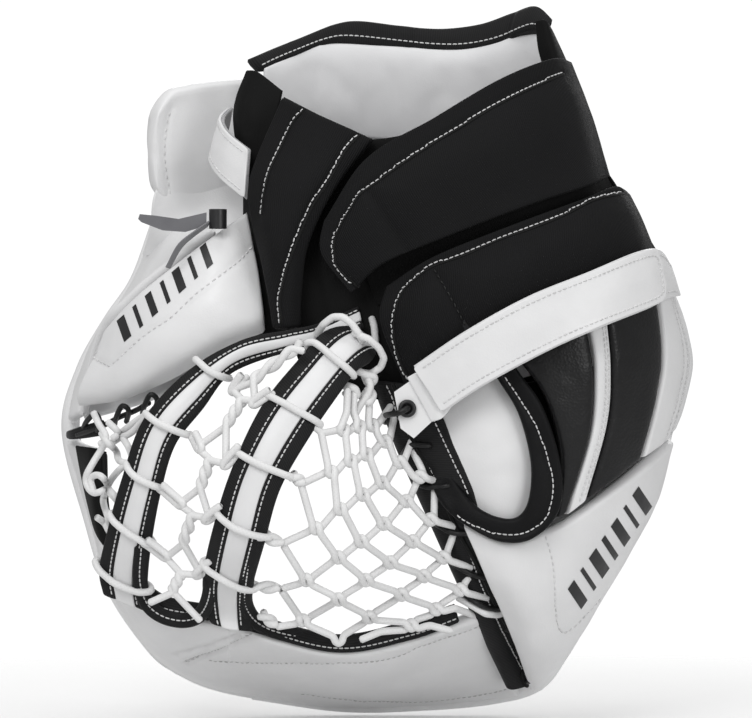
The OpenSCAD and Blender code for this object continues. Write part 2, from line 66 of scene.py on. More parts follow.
world = bpy.data.worlds.new("world")
scene.world = world
world.use_nodes = True
sky = world.node_tree
room = sky.nodes["Background"]
room.inputs["Color"].default_value = (1, 1, 1, 1)
room.inputs["Strength"].default_value = 0.45
paper = sky.nodes.new("ShaderNodeBackground")
paper.inputs["Color"].default_value = (1, 1, 1, 1)
paper.inputs["Strength"].default_value = 1.05
pick, which = sky.nodes.new("ShaderNodeMixShader"), sky.nodes.new("ShaderNodeLightPath")
sky.links.new(which.outputs["Is Camera Ray"], pick.inputs[0])
sky.links.new(room.outputs[0], pick.inputs[1])
sky.links.new(paper.outputs[0], pick.inputs[2])
sky.links.new(pick.outputs[0], sky.nodes["World Output"].inputs["Surface"])


def softbox(name, place, size, watts):
    lamp = bpy.data.lights.new(name, "AREA")
    lamp.shape = "RECTANGLE"
    lamp.size, lamp.size_y = size
    lamp.energy = watts
    obj = bpy.data.objects.new(name, lamp)
    obj.location = place
    aim = Vector((0, 0, -0.15)) - Vector(place)
    obj.rotation_euler = aim.to_track_quat("-Z", "Y").to_euler()
    scene.collection.objects.link(obj)


softbox("key", (-0.9, -2.2, 1.3), (1.4, 1.2), 30)
softbox("fill", (1.5, -2.2, 0.2), (1.0, 1.4), 14)
softbox("top", (0.0, -0.3, 1.9), (1.4, 1.0), 10)
softbox("back", (0.4, 2.2, 0.9), (1.8, 1.2), 22)

# ---------- curves and surfaces ----------


def spline(points, t):
    """Catmull-Rom through points at t from 0 to 1."""
    p = np.asarray(points, float)
    x = np.clip(t, 0, 1) * (len(p) - 1)
    i = np.clip(np.floor(x).astype(int), 0, len(p) - 2)
    q = np.concatenate([[2 * p[0] - p[1]], p, [2 * p[-1] - p[-2]]])
    a, b, c, d = q[i], q[i + 1], q[i + 2], q[i + 3]
    f = (x - i).reshape(np.shape(x) + (1,) * (p.ndim - 1))
    bent = (2 * a - 5 * b + 4 * c - d) * f * f + (3 * b - a - 3 * c + d) * f**3
    return 0.5 * (2 * b + (c - a) * f + bent)


def surf(net, u, v):
    net = np.asarray(net, float)
    u, v = np.broadcast_arrays(np.asarray(u, float), np.asarray(v, float))
    wu, wv = spline(np.eye(net.shape[1]), u), spline(np.eye(net.shape[0]), v)
    return np.einsum("...i,...j,jik->...k", wu, wv, net)


def unit(a):
    return a / np.maximum(np.linalg.norm(a, axis=-1, keepdims=True), 1e-9)


def facing(net, u, v, e=0.01):
    """Outward normal of the sheet."""
    left, right = surf(net, np.maximum(u - e, 0), v), surf(net, np.minimum(u + e, 1), v)
    up, down = surf(net, u, np.maximum(v - e, 0)), surf(net, u, np.minimum(v + e, 1))
    return unit(np.cross(down - up, right - left))


def lengths(path):
    """Distance along a polyline at each of its points."""
    return np.concatenate([[0], np.cumsum(np.linalg.norm(np.diff(path, axis=0), axis=1))])


def sample(values, s, at):
    """Values known at distances s, taken at the distances at."""
    return np.stack([np.interp(at, s, values[:, k]) for k in range(values.shape[1])], 1)


def even(path, n):
    """The polyline as n points at equal distances."""
    path = np.asarray(path, float)
    s = lengths(path)
    return sample(path, s, np.linspace(0, s[-1], n))


def walk(path, step):
    """The polyline with its points about a step apart."""
    return even(path, max(2, int(round(lengths(path)[-1] / step)) + 1))


def smooth(points, step=1.5):
    points = np.asarray(points, float)
    return walk(spline(points, np.linspace(0, 1, 16 * (len(points) - 1) + 1)), step)


def tree(obj):
    me = obj.data
    return BVHTree.FromPolygons([v.co / MM for v in me.vertices], [tuple(p.vertices) for p in me.polygons])


def net_tree(net, lift=0.0, n=28):
    u, v = np.meshgrid(np.linspace(0, 1, n), np.linspace(0, 1, n))
    p = on_net(net, u, v, lift).reshape(-1, 3)
    ids = np.arange(n * n).reshape(n, n)
    quads = rows_of(ids)[:, [0, 3, 2, 1]].tolist()
    return BVHTree.FromPolygons([Vector(q) for q in p], quads)


def seen(bvh, points, near=True):
    """Points given as the viewer sees them, on the plane Y = 0, laid on a surface.
    near takes a point that misses the surface to its closest edge instead of dropping it."""
    found = []
    for x, z in np.asarray(points, float)[:, :2]:
        ray = unit(np.array([x, 0.0, z]) - EYE)
        place = bvh.ray_cast(Vector(EYE), Vector(ray))[0]
        if place is None and near:
            place = Vector(EYE + ray * (NEAR_SIDE / ray[1]))
            for _ in range(4):
                edge = bvh.find_nearest(place)[0]
                place = Vector(EYE + ray * ((edge[1] - EYE[1]) / ray[1]))
        if place is not None:
            found.append(np.array(place))
    return np.array(found)


def depth(points, y):
    """Points given as the viewer sees them, at depth y."""
    p = np.asarray(points, float)
    y = np.broadcast_to(np.asarray(y, float), (len(p),))
    k = (y - EYE[1]) / -EYE[1]
    return np.stack([EYE[0] + (p[:, 0] - EYE[0]) * k, y, EYE[2] + (p[:, 1] - EYE[2]) * k], 1)


def nearest(bvh, points):
    """Closest points of a surface and its normals there."""
    hits = [bvh.find_nearest(Vector(p)) for p in points]
    return np.array([h[0] for h in hits]), np.array([h[1] for h in hits])


# ---------- mesh builders ----------


def settle(obj, body):
    """body is the one that obj rides on, or a pair, start and end, whose values are not used: obj then stays
    where it is, on neither body.
    """
    if isinstance(body, str):
        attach(obj, body)
    elif body:
        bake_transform(obj)


def stand_for(obj, nodes):
    """Hide the named CAD nodes, which the new piece replaces."""
    if nodes:
        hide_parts(*nodes.split())


def make(name, verts, faces, mat, body, uv=None, flat=False):
    """A mesh object in its material's slot, riding on its body."""
    me = bpy.data.meshes.new(name)
    me.from_pydata((np.asarray(verts) * MM).tolist(), [], [list(map(int, f)) for f in faces])
    if uv is not None:
        layer = me.uv_layers.new(name="lay")
        loops = np.zeros(len(me.loops), int)
        me.loops.foreach_get("vertex_index", loops)
        layer.data.foreach_set("uv", (np.asarray(uv)[loops] * 0.01).ravel())
    me.polygons.foreach_set("use_smooth", [not flat] * len(me.polygons))
    me.materials.append(mat)
    me.update()
    obj = bpy.data.objects.new(name, me)
    scene.collection.objects.link(obj)
    settle(obj, body)
    return obj


def rows_of(ids):
    """Quads of a grid of vertex numbers."""
    return np.stack([ids[:-1, :-1], ids[1:, :-1], ids[1:, 1:], ids[:-1, 1:]], -1).reshape(-1, 4)


def ring_faces(rings, sides, turn=1):
    """Faces of closed rings of vertices with both ends capped; turn -1 faces them the other way."""
    ids = np.arange(rings * sides).reshape(rings, sides)
    quads = rows_of(np.concatenate([ids, ids[:, :1]], 1))
    return [list(q)[::turn] for q in quads] + [list(ids[0][::-1])[::turn], list(ids[-1])[::turn]]


def circle(sides):
    """Angles round a ring, and their cosines and sines shaped to multiply its two axes."""
    ang = np.linspace(0, 2 * np.pi, sides, endpoint=False)
    return ang, np.cos(ang)[None, :, None], np.sin(ang)[None, :, None]


def spread(length, step, edge):
    """Positions from 0 to 1, closer together near both ends."""
    r = min(edge, length * 0.3)
    ends = np.array([0, 0.08, 0.3, 0.62, 1.0]) * r
    mid = np.linspace(r, length - r, max(1, int(round((length - 2 * r) / step))) + 1)[1:-1]
    return np.concatenate([ends, mid, length - ends[::-1]]) / length


def from_lines(points, lines):
    """Distance from each point to the nearest of the polylines."""
    best = np.full(len(points), 1e9)
    for line in lines:
        for a, b in zip(line[:-1], line[1:]):
            ab = b - a
            t = np.clip(((points - a) @ ab) / max(ab @ ab, 1e-9), 0, 1)
            best = np.minimum(best, np.linalg.norm(points - a - t[:, None] * ab, axis=1))
    return best


def waves(points, size, seed, amount):
    """Smooth random height."""
    shift = Vector((seed * 13.7, seed * 5.1, seed * 9.3))
    return amount * np.array([noise.noise(Vector(p) / size + shift) for p in points])


def panel(name, net, low, high, mat, body, nodes="", window=(0, 1, 0, 1), step=2.4, edge=2.5,
          crown=0.0, seams=(), puff=0.0, reach=9.0, groove=(1.0, 1.6), corners=None, creases=(), wrinkle=0.0,
          cloth=None, lines_uv=()):
    """A closed padded sheet from height low to high over a net, in place of CAD nodes.
    Its edges are rounded, its sewn lines pulled in, and it swells between them. seams are seen lines,
    lines_uv are lines in u and v, and creases are seen lines with a depth and a width.
    Returns its tree and the sewn lines."""
    u0, u1, v0, v1 = window
    k = np.linspace(0, 1, 25)  # fine enough to measure the sheet
    p = surf(net, *np.meshgrid(u0 + (u1 - u0) * k, v0 + (v1 - v0) * k))
    wide = np.linalg.norm(np.diff(p, axis=1), axis=2).sum(1).max()
    tall = np.linalg.norm(np.diff(p, axis=0), axis=2).sum(0).max()
    s, t = np.meshgrid(spread(wide, step, edge), spread(tall, step, edge))
    if corners:
        x, cut = s * wide, np.zeros((2,) + s.shape)
        for n, r in enumerate(corners):  # top left, top right, bottom left, bottom right
            d = x if n % 2 == 0 else wide - x
            cut[n // 2] += np.where(d < r, r - np.sqrt(np.maximum(r * r - (r - d) ** 2, 0)), 0)
        t = cut[0] / tall + t * (1 - (cut[0] + cut[1]) / tall)
    u, v = u0 + (u1 - u0) * s, v0 + (v1 - v0) * t
    p, n = surf(net, u, v), facing(net, u, v)
    across = np.pad(np.cumsum(np.linalg.norm(np.diff(p, axis=1), axis=2), 1), ((0, 0), (1, 0)))
    along = np.pad(np.cumsum(np.linalg.norm(np.diff(p, axis=0), axis=2), 0), ((1, 0), (0, 0)))
    dx = np.minimum(across, across[:, -1:] - across)
    dy = np.minimum(along, along[-1:] - along)
    gap = edge - np.hypot(np.maximum(edge - dx, 0), np.maximum(edge - dy, 0))
    round_off = np.sqrt(1 - (1 - np.clip(gap / edge, 0, 1)) ** 2)
    mid = (low + high) / 2
    rise = (high - mid) * round_off + crown * (1 - (2 * s - 1) ** 4) * (1 - (2 * t - 1) ** 4)
    base = net_tree(net, high)
    sewn = [seen(base, smooth(line), near=False) for line in seams]
    sewn += [on_net(net, *smooth_uv(line), high) for line in lines_uv]
    flat = (p + high * n).reshape(-1, 3)
    if sewn:
        away = from_lines(flat, sewn).reshape(s.shape)
        rise = rise - groove[0] * np.exp(-((away / groove[1]) ** 2)) * round_off
        rise = rise + puff * (1 - np.exp(-((away / reach) ** 2))) * round_off
    elif puff:
        rise = rise + puff * (1 - np.exp(-((np.minimum(dx, dy) / reach) ** 2)))
    for line, deep, width in creases:
        d = from_lines(flat, [seen(base, smooth(line), near=False)]).reshape(s.shape)
        rise = rise - deep * np.exp(-((d / width) ** 2)) * round_off
    if wrinkle:
        uneven = waves(flat, 26, len(name), wrinkle) + waves(flat, 9, 3, wrinkle * 0.3)
        rise = rise + uneven.reshape(s.shape) * round_off
    outer = p + n * (mid + rise)[..., None]
    inner = p + n * (mid - (mid - low) * round_off)[..., None]
    rows, cols = s.shape
    top = np.arange(rows * cols).reshape(rows, cols)
    under = top.copy()
    core = np.zeros((rows, cols), bool)
    core[1:-1, 1:-1] = True
    under[core] = rows * cols + np.arange(core.sum())
    verts = np.concatenate([outer.reshape(-1, 3), inner[core]])
    lay = np.stack([across, along], -1)
    uv = np.concatenate([lay.reshape(-1, 2), lay[core]])
    faces = np.concatenate([rows_of(top), rows_of(under)[:, ::-1]])
    obj = make(name, verts, faces, mat, None, uv)
    if cloth:
        held = np.ones(len(verts))
        hold = round_off.copy()
        if sewn:
            hold = hold * np.clip((away - 0.8) / 3.5, 0, 1)
        held[: rows * cols] = 1 - np.clip(hold, 0, 1).ravel() * (dx.ravel() > 1) * (dy.ravel() > 1)
        swell(obj, held, *cloth)
    settle(obj, body)
    stand_for(obj, nodes)
    return tree(obj), sewn


def on_net(net, u, v, lift=0.0):
    """Points of a net, lifted off it along its normal."""
    return surf(net, u, v) + lift * facing(net, u, v)


def smooth_uv(line):
    """A smooth line through points in u and v, as its u values and its v values."""
    q = spline(np.asarray(line, float), np.linspace(0, 1, 24 * (len(line) - 1) + 1))
    return q[:, 0], q[:, 1]


def swell(obj, held, pressure, cap):
    """Blow the free part of a closed pad up a little with cloth, and keep the result in its mesh."""
    group = obj.vertex_groups.new(name="held")
    for i, w in enumerate(held):
        if w > 0.02:
            group.add([i], float(w), "REPLACE")
    mod = obj.modifiers.new("cloth", "CLOTH")
    mod.settings.use_pressure = True
    mod.settings.uniform_pressure_force = pressure
    mod.settings.quality = 5
    mod.settings.mass = 0.3
    mod.settings.tension_stiffness = 12
    mod.settings.compression_stiffness = 12
    mod.settings.bending_stiffness = 2
    mod.settings.vertex_group_mass = "held"
    mod.settings.effector_weights.gravity = 0
    mod.collision_settings.use_collision = False
    for f in range(1, 15):
        scene.frame_set(f)
    shape = obj.evaluated_get(bpy.context.evaluated_depsgraph_get()).data
    old = np.array([v.co for v in obj.data.vertices])
    new = np.array([v.co for v in shape.vertices])
    move = new - old
    far = np.linalg.norm(move, axis=1, keepdims=True)
    move *= np.minimum(1, cap * MM / np.maximum(far, 1e-9))
    obj.modifiers.remove(mod)
    obj.vertex_groups.clear()
    obj.data.vertices.foreach_set("co", (old + move).ravel())
    obj.data.update()
    scene.frame_set(1)


def frames_of(path):
    """Along, side and up of a path, turning as little as it can."""
    t = unit(np.gradient(path, axis=0))
    side = np.zeros_like(path)
    side[0] = unit(np.cross(t[0], [0, 1.0, 0] if abs(t[0][1]) < 0.95 else [1.0, 0, 0]))
    for i in range(1, len(path)):
        side[i] = unit(side[i - 1] - t[i] * (side[i - 1] @ t[i]))
    return t, side, np.cross(t, side)


def tube_parts(path, r, sides=10):
    """Vertices, faces and layout of a round cord with blunt ends."""
    t, a, b = frames_of(path)
    r = np.broadcast_to(r, (len(path),)).astype(float)
    path = np.concatenate([[path[0] - t[0] * r[0] * 0.45], path, [path[-1] + t[-1] * r[-1] * 0.45]])
    a, b = np.concatenate([a[:1], a, a[-1:]]), np.concatenate([b[:1], b, b[-1:]])
    r = np.concatenate([[r[0] * 0.55], r, [r[-1] * 0.55]])
    ang, cos, sin = circle(sides)
    ring = path[:, None] + r[:, None, None] * (cos * a[:, None] + sin * b[:, None])
    shape = (len(path), sides)
    uv = np.stack([np.broadcast_to(lengths(path)[:, None], shape), np.broadcast_to(ang[None], shape)], -1)
    return ring.reshape(-1, 3), ring_faces(*shape, -1), uv.reshape(-1, 2)


def join(name, parts, mat, body):
    """One piece from several sets of vertices, faces and layout."""
    verts, faces, uv, base = [], [], [], 0
    for v, f, w in parts:
        verts.append(v)
        uv.append(w)
        faces += [[i + base for i in q] for q in f]
        base += len(v)
    return make(name, np.concatenate(verts), faces, mat, body, np.concatenate(uv))


def cords(name, paths, r, mat, body, sides=10, step=1.3):
    return join(name, [tube_parts(smooth(p, step), r, sides) for p in paths], mat, body)


def sew(name, bvh, lines, body, mat=None, pitch=3.5, length=2.8, r=0.42, lift=0.15):
    """Short raised threads along sewn lines, with their ends sunk in."""
    parts = []
    _, cos, sin = circle(6)
    girth = r * np.array([0.5, 0.95, 1.05, 0.95, 0.5])[:, None, None]
    height = lift + r * np.array([-0.9, 0.1, 0.45, 0.1, -0.9])[:, None]
    for line in lines:
        if len(line) < 2:
            continue
        on, n = nearest(bvh, walk(line, 0.8))
        s = lengths(on)
        for start in np.arange(0.5, s[-1] - length, pitch):
            at = start + length * np.array([0, 0.14, 0.5, 0.86, 1.0])
            c, m = sample(on, s, at), unit(sample(n, s, at))
            t = unit(np.broadcast_to(c[-1] - c[0], c.shape))
            side = unit(np.cross(t, m))
            ring = (c + m * height)[:, None] + girth * (cos * side[:, None] + sin * m[:, None])
            parts.append((ring.reshape(-1, 3), ring_faces(5, 6), np.zeros((30, 2))))
    return join(name, parts, mat or thread, body)


def edging(name, bvh, inner, outer, under, mat, body, rise=1.1, step=2.0):
    """Tape folded over an edge: from the sewn line inner, over the edge outer, to the back."""
    m = max(4, int(round(lengths(outer)[-1] / step)))
    a, b = even(inner, m), even(outer, m)
    _, n = nearest(bvh, a)
    n = unit(n + np.array([0, -1e-6, 0]))
    for _ in range(3):
        n[1:-1] = unit(n[:-2] + 2 * n[1:-1] + n[2:])
    ab = b - a
    o = unit(ab - n * np.sum(ab * n, 1, keepdims=True))
    # From a, over b and back, as shares of ab, of the way out past b, and of the normal
    profile = [(0, 0, -0.6), (0, 0, 0.25 * rise), (0.12, 0, 0.95 * rise), (0.5, 0, 1.15 * rise),
               (0.85, 0, 0.95 * rise), (1, 0.45 * rise, 0.25 * rise),
               (1, 0.8 * rise, -0.35 * under), (1, 0.45 * rise, -0.8 * under),
               (0.85, 0, -under - 0.5 * rise), (0.4, 0, -under - 0.6 * rise), (0.1, 0, -under)]
    ring = np.stack([a + x * ab + y * o + z * n for x, y, z in profile], 1)
    shape = ring.shape[:2]
    uv = [np.broadcast_to(lengths(ring[m // 2])[None], shape), np.broadcast_to(lengths(b)[:, None], shape)]
    obj = make(name, ring.reshape(-1, 3), ring_faces(*shape), mat, body, np.stack(uv, -1).reshape(-1, 2))
    bpy.context.view_layer.update()
    return obj, tree(obj)

# ---------- materials ----------


class Look:
    """A Principled material with small helpers for its nodes."""

    def __init__(self, name, color, rough, **sockets):
        self.m = bpy.data.materials.new(name)
        self.m.use_nodes = True
        self.t = self.m.node_tree
        self.b = self.t.nodes["Principled BSDF"]
        self.b.inputs["Base Color"].default_value = (*color, 1)
        self.b.inputs["Roughness"].default_value = rough
        for key, value in sockets.items():
            self.b.inputs[key.replace("_", " ")].default_value = value
        coord = self.node("ShaderNodeTexCoord")
        self.place = coord.outputs["Object"]
        lay = self.node("ShaderNodeUVMap")
        lay.uv_map = "lay"
        self.lay = lay.outputs["UV"]

    def node(self, kind, links=(), **values):
        n = self.t.nodes.new(kind)
        for key, value in values.items():
            if hasattr(n, key) and key not in n.inputs:
                setattr(n, key, value)
            else:
                n.inputs[key.replace("_", " ")].default_value = value
        for key, out in dict(links).items():
            self.t.links.new(out, n.inputs[key])
        return n

    def noise(self, size, detail=3.0):
        """Smooth noise with features about size millimetres across."""
        n = self.node("ShaderNodeTexNoise", {"Vector": self.place}, Scale=1000.0 / size, Detail=detail)
        return n.outputs["Fac"]

    def cells(self, size):
        """Rounded cells about size millimetres across, like pebbled leather."""
        n = self.node("ShaderNodeTexVoronoi", {"Vector": self.place}, Scale=1000.0 / size)
        n.feature = "SMOOTH_F1"
        n.inputs["Smoothness"].default_value = 0.35
        return n.outputs["Distance"]

    def ribs(self, size, axis="X"):
        """Soft parallel ribs, size millimetres apart, on the laid-out cloth."""
        n = self.node("ShaderNodeTexWave", {"Vector": self.lay}, Scale=31.416 / size)
        n.wave_type, n.bands_direction, n.wave_profile = "BANDS", axis, "SIN"
        return n.outputs["Fac"]

    def math(self, op, a, b):
        n = self.node("ShaderNodeMath")
        n.operation = op
        for k, v in enumerate((a, b)):
            if isinstance(v, (int, float)):
                n.inputs[k].default_value = v
            else:
                self.t.links.new(v, n.inputs[k])
        return n.outputs[0]

    def ramp(self, fac, stops):
        n = self.node("ShaderNodeValToRGB", {"Fac": fac})
        while len(n.color_ramp.elements) < len(stops):
            n.color_ramp.elements.new(0.5)
        for e, (at, c) in zip(n.color_ramp.elements, stops):
            e.position, e.color = at, (c, c, c, 1) if isinstance(c, float) else (*c, 1)
        return n.outputs["Color"]

    def tint(self, fac, stops):
        self.t.links.new(self.ramp(fac, stops), self.b.inputs["Base Color"])

    def gloss(self, fac, stops):
        self.t.links.new(self.ramp(fac, stops), self.b.inputs["Roughness"])

    def bump(self, *layers):
        """layers of (height, strength, depth in millimetres)"""
        last = None
        for height, strength, deep in layers:
            links = {"Height": height}
            if last is not None:
                links["Normal"] = last
            last = self.node("ShaderNodeBump", links, Strength=strength, Distance=deep * MM).outputs["Normal"]
        self.t.links.new(last, self.b.inputs["Normal"])


def leather(name, light, dark, rough, grain, strength, shine=0.5):
    """Pebbled leather; grain is the size of its pebbles."""
    k = Look(name, light, rough, Specular_IOR_Level=shine)
    k.tint(k.noise(38, 4), [(0.3, dark), (0.62, light)])
    k.gloss(k.noise(7, 3), [(0.3, rough - 0.07), (0.7, rough + 0.08)])
    k.bump((k.cells(grain), strength, 0.35), (k.noise(grain * 0.45, 2), strength * 0.5, 0.15),
           (k.noise(16, 2), 0.25, 1.2))
    return k.m


def woven(name, light, dark, size, strength=0.45, sheen=0.02):
    """Cloth with threads size millimetres apart."""
    k = Look(name, light, 0.7, Specular_IOR_Level=0.14, Sheen_Weight=sheen, Sheen_Roughness=0.4)
    warp, weft = k.ribs(size, "X"), k.ribs(size * 0.6, "Y")
    wear = k.math("ADD", k.noise(22, 3), 0.35)
    k.tint(k.math("MULTIPLY", k.math("ADD", warp, 0.6), wear), [(0.2, dark), (0.9, light)])
    k.bump((warp, strength, 0.25), (weft, strength * 0.5, 0.12), (k.noise(1.1, 2), 0.25, 0.15),
           (k.noise(18, 2), 0.3, 1.0))
    return k.m


def tape(name, light, dark, size=1.5):
    """Folded binding tape with ribs across it."""
    k = Look(name, light, 0.74, Specular_IOR_Level=0.22, Sheen_Weight=0.05, Sheen_Roughness=0.4)
    ribs = k.ribs(size, "Y")
    k.tint(ribs, [(0.1, dark), (0.9, light)])
    k.bump((ribs, 0.35, 0.25), (k.noise(1.2, 2), 0.3, 0.2), (k.noise(14, 2), 0.4, 1.0))
    return k.m


def braided(name, light, dark, rough):
    """Round lace: two sets of plaits crossing over each other."""
    k = Look(name, light, rough, Specular_IOR_Level=0.35)
    part = k.node("ShaderNodeSeparateXYZ", {"Vector": k.lay})
    s, a = k.math("MULTIPLY", part.outputs["X"], 100 * 2.6), k.math("MULTIPLY", part.outputs["Y"], 100 * 4)
    one = k.math("SINE", k.math("ADD", s, a), 0.0)
    two = k.math("SINE", k.math("SUBTRACT", s, a), 0.0)
    plait = k.math("MAXIMUM", one, two)
    k.tint(k.math("ADD", k.math("MULTIPLY", plait, 0.15), k.noise(9, 3)), [(0.35, dark), (0.75, light)])
    k.bump((plait, 0.16, 0.16), (k.noise(0.9, 3), 0.2, 0.1), (k.noise(6, 2), 0.3, 0.5))
    return k.m


def fuzzy(name, light, dark, size=1.2):
    """Felt, pile or foam."""
    k = Look(name, light, 0.95, Specular_IOR_Level=0.1, Sheen_Weight=0.5, Sheen_Roughness=0.5)
    k.tint(k.noise(size, 5), [(0.3, dark), (0.7, light)])
    k.bump((k.noise(size * 0.7, 5), 0.8, 0.5))
    return k.m


def plain(name, color, rough, grain, strength):
    """A hard or printed surface."""
    k = Look(name, color, rough)
    k.gloss(k.noise(5, 4), [(0.3, rough - 0.06), (0.7, rough + 0.08)])
    k.bump((k.noise(grain, 3), strength, 0.15))
    return k.m


WHITE, SHADE = (0.80, 0.80, 0.805), (0.75, 0.75, 0.755)
white_leather = leather("white_leather", WHITE, SHADE, 0.44, 1.1, 0.16)
soft_white = leather("soft_white_lining", (0.78, 0.78, 0.79), (0.74, 0.74, 0.75), 0.5, 0.9, 0.1)
black_leather = leather("black_leather", (0.010, 0.010, 0.0105), (0.007, 0.007, 0.0075), 0.36, 1.7, 0.45,
                        0.32)
soft_black = leather("soft_black_leather", (0.0065, 0.0065, 0.007), (0.004, 0.004, 0.0045), 0.5, 1.2, 0.25,
                     0.14)
nylon = woven("black_nylon", (0.0075, 0.0075, 0.008), (0.0035, 0.0035, 0.004), 1.3, 0.7)
deep_nylon = woven("black_side_nylon", (0.005, 0.005, 0.005), (0.0025, 0.0025, 0.0025), 1.0, 0.35)
binding_tape = tape("black_binding", (0.0135, 0.0135, 0.014), (0.008, 0.008, 0.0085))
piping_cloth = tape("black_piping", (0.008, 0.008, 0.008), (0.004, 0.004, 0.004), 1.0)
lace_white = braided("white_lace", (0.80, 0.80, 0.80), (0.74, 0.74, 0.74), 0.6)
lace_black = braided("black_lace", (0.010, 0.010, 0.0105), (0.006, 0.006, 0.006), 0.42)
thread = braided("white_thread", (0.78, 0.78, 0.78), (0.6, 0.6, 0.6), 0.6)
thread_pale = braided("pale_thread", (0.62, 0.62, 0.62), (0.5, 0.5, 0.5), 0.6)
thread_black = braided("black_thread", (0.02, 0.02, 0.02), (0.01, 0.01, 0.01), 0.6)
felt = fuzzy("gray_felt", (0.42, 0.42, 0.43), (0.30, 0.30, 0.31))
tab_gray = woven("gray_webbing", (0.22, 0.22, 0.23), (0.13, 0.13, 0.14), 1.3, 0.8, 0.3)
hook_pile = fuzzy("hook_pile", (0.03, 0.03, 0.032), (0.008, 0.008, 0.009), 0.9)
foam_black = fuzzy("black_foam", (0.028, 0.028, 0.03), (0.014, 0.014, 0.015), 0.8)
hard_black = plain("black_plastic", (0.012, 0.012, 0.013), 0.35, 1.2, 0.2)
ink = plain("black_print", (0.012, 0.012, 0.013), 0.42, 1.1, 0.25)
pale_floor = plain("pale_floor", (0.9, 0.9, 0.9), 0.9, 20, 0.02)


def coat(node, mat):
    """Give a CAD node that stays its finished material."""
    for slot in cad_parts[node].material_slots:
        slot.material = mat


# The floor fades out into the white paper behind
fade = pale_floor.node_tree
far = fade.nodes.new("ShaderNodeVectorMath")
far.operation = "LENGTH"
span = fade.nodes.new("ShaderNodeMapRange")
span.inputs["From Min"].default_value, span.inputs["From Max"].default_value = 0.25, 0.95
gone, blend_in = fade.nodes.new("ShaderNodeBsdfTransparent"), fade.nodes.new("ShaderNodeMixShader")
fade.links.new(fade.nodes.new("ShaderNodeTexCoord").outputs["Object"], far.inputs[0])
fade.links.new(far.outputs["Value"], span.inputs["Value"])
fade.links.new(span.outputs[0], blend_in.inputs[0])
fade.links.new(fade.nodes["Principled BSDF"].outputs[0], blend_in.inputs[1])
fade.links.new(gone.outputs[0], blend_in.inputs[2])
fade.links.new(blend_in.outputs[0], fade.nodes["Material Output"].inputs["Surface"])
floor = make("floor", np.array([[-1000, -1000, -372], [1000, -1000, -372], [1000, 1000, -372],
                                [-1000, 1000, -372]], float), [[0, 1, 2, 3]], pale_floor, None, flat=True)

# ---------- control nets, as in the CAD ----------

palm_net = [
  [[108, 66, -10], [66, 58, -10], [18, 50, -10], [-24, 42, -10]],
  [[136, 76, -70], [86, 54, -75], [34, 40, -78], [-26, 28, -80]],
  [[157, 90, -150], [108, 58, -155], [52, 38, -160], [10, 18, -168]],
  [[142, 92, -216], [108, 66, -222], [70, 42, -228], [34, 16, -234]],
  [[115, 94, -266], [96, 76, -271], [77, 58, -276], [57, 34, -282]],
  [[93, 92, -298], [87, 80, -301], [80, 68, -304], [71, 56, -308]]]

crease_net = [
  [[-32, 40, -14], [-55, 30, -40], [-78, 20, -62]],
  [[-34, 28, -80], [-56, 16, -94], [-78, 8, -104]],
  [[-28, 16, -136], [-52, 4, -134], [-80, -4, -132]]]

finger_back_net = [
  [[37, -38, -243], [66, -43, -254], [98, -38, -244], [138, -20, -218],
   [168, 10, -196], [171, 55, -192], [171, 98, -190]],
  [[50, -26, -272], [74, -31, -281], [105, -24, -274], [140, 0, -252],
   [158, 30, -237], [158, 65, -238], [156, 98, -238]],
  [[64, 0, -304], [82, -8, -310], [103, 0, -310], [124, 20, -294],
   [132, 45, -285], [131, 72, -288], [128, 98, -290]],
  [[75, 28, -330], [83, 25, -336], [94, 30, -337], [104, 42, -330],
   [108, 60, -324], [107, 80, -327], [105, 98, -330]],
  [[83, 60, -350], [84, 60, -352], [86, 60, -353], [89, 64, -353],
   [91, 72, -352], [91, 85, -352], [90, 98, -353]]]

# Columns 0 to 6: tongue side, stripe, stripe, stripe, outline, side wall, rim
stripe_net = [
  [[58, -57, -145], [113, -58, -120], [126, -53, -114], [158, -26, -101],
   [168, -4, -100], [172, 45, -98], [168, 98, -100]],
  [[80, -58, -170], [118, -54, -150], [129, -49, -148], [162, -20, -140],
   [180, 12, -136], [182, 55, -134], [178, 98, -132]],
  [[93, -50, -205], [116, -46, -188], [127, -42, -182], [158, -18, -168],
   [178, 15, -162], [181, 58, -160], [178, 98, -158]],
  [[94, -42, -240], [101, -40, -238], [114, -37, -229], [149, -18, -204],
   [169, 12, -191], [173, 55, -187], [173, 98, -184]]]

tongue_net = [
  [[27, -45, -173], [44, -50, -163], [58, -52, -156]],
  [[28, -45, -190], [52, -53, -186], [75, -50, -184]],
  [[37, -42, -215], [60, -50, -213], [82, -43, -211]],
  [[47, -36, -237], [63, -41, -241], [78, -38, -237]]]

opening_binding_net = [
  [[58, -61, -153], [71, -62, -149]],
  [[71, -61, -175], [86, -62, -171]],
  [[79, -57, -204], [97, -55, -204]],
  [[78, -54, -227], [97, -52, -233]],
  [[71, -51, -238], [81, -51, -251]],
  [[59, -50, -238], [60, -51, -253]],
  [[47, -47, -232], [38, -47, -242]]]

index_net = [
  [[-8, 8, -160], [-16, -15, -158], [-12, -42, -156], [8, -44, -158]],
  [[8, 8, -200], [-1, -12, -198], [3, -36, -196], [25, -38, -192]],
  [[28, 10, -245], [19, -8, -243], [24, -26, -241], [45, -26, -238]],
  [[54, 35, -300], [44, 15, -298], [49, -1, -297], [66, 9, -294]],
  [[76, 80, -348], [69, 68, -350], [72, 62, -352], [84, 70, -350]]]

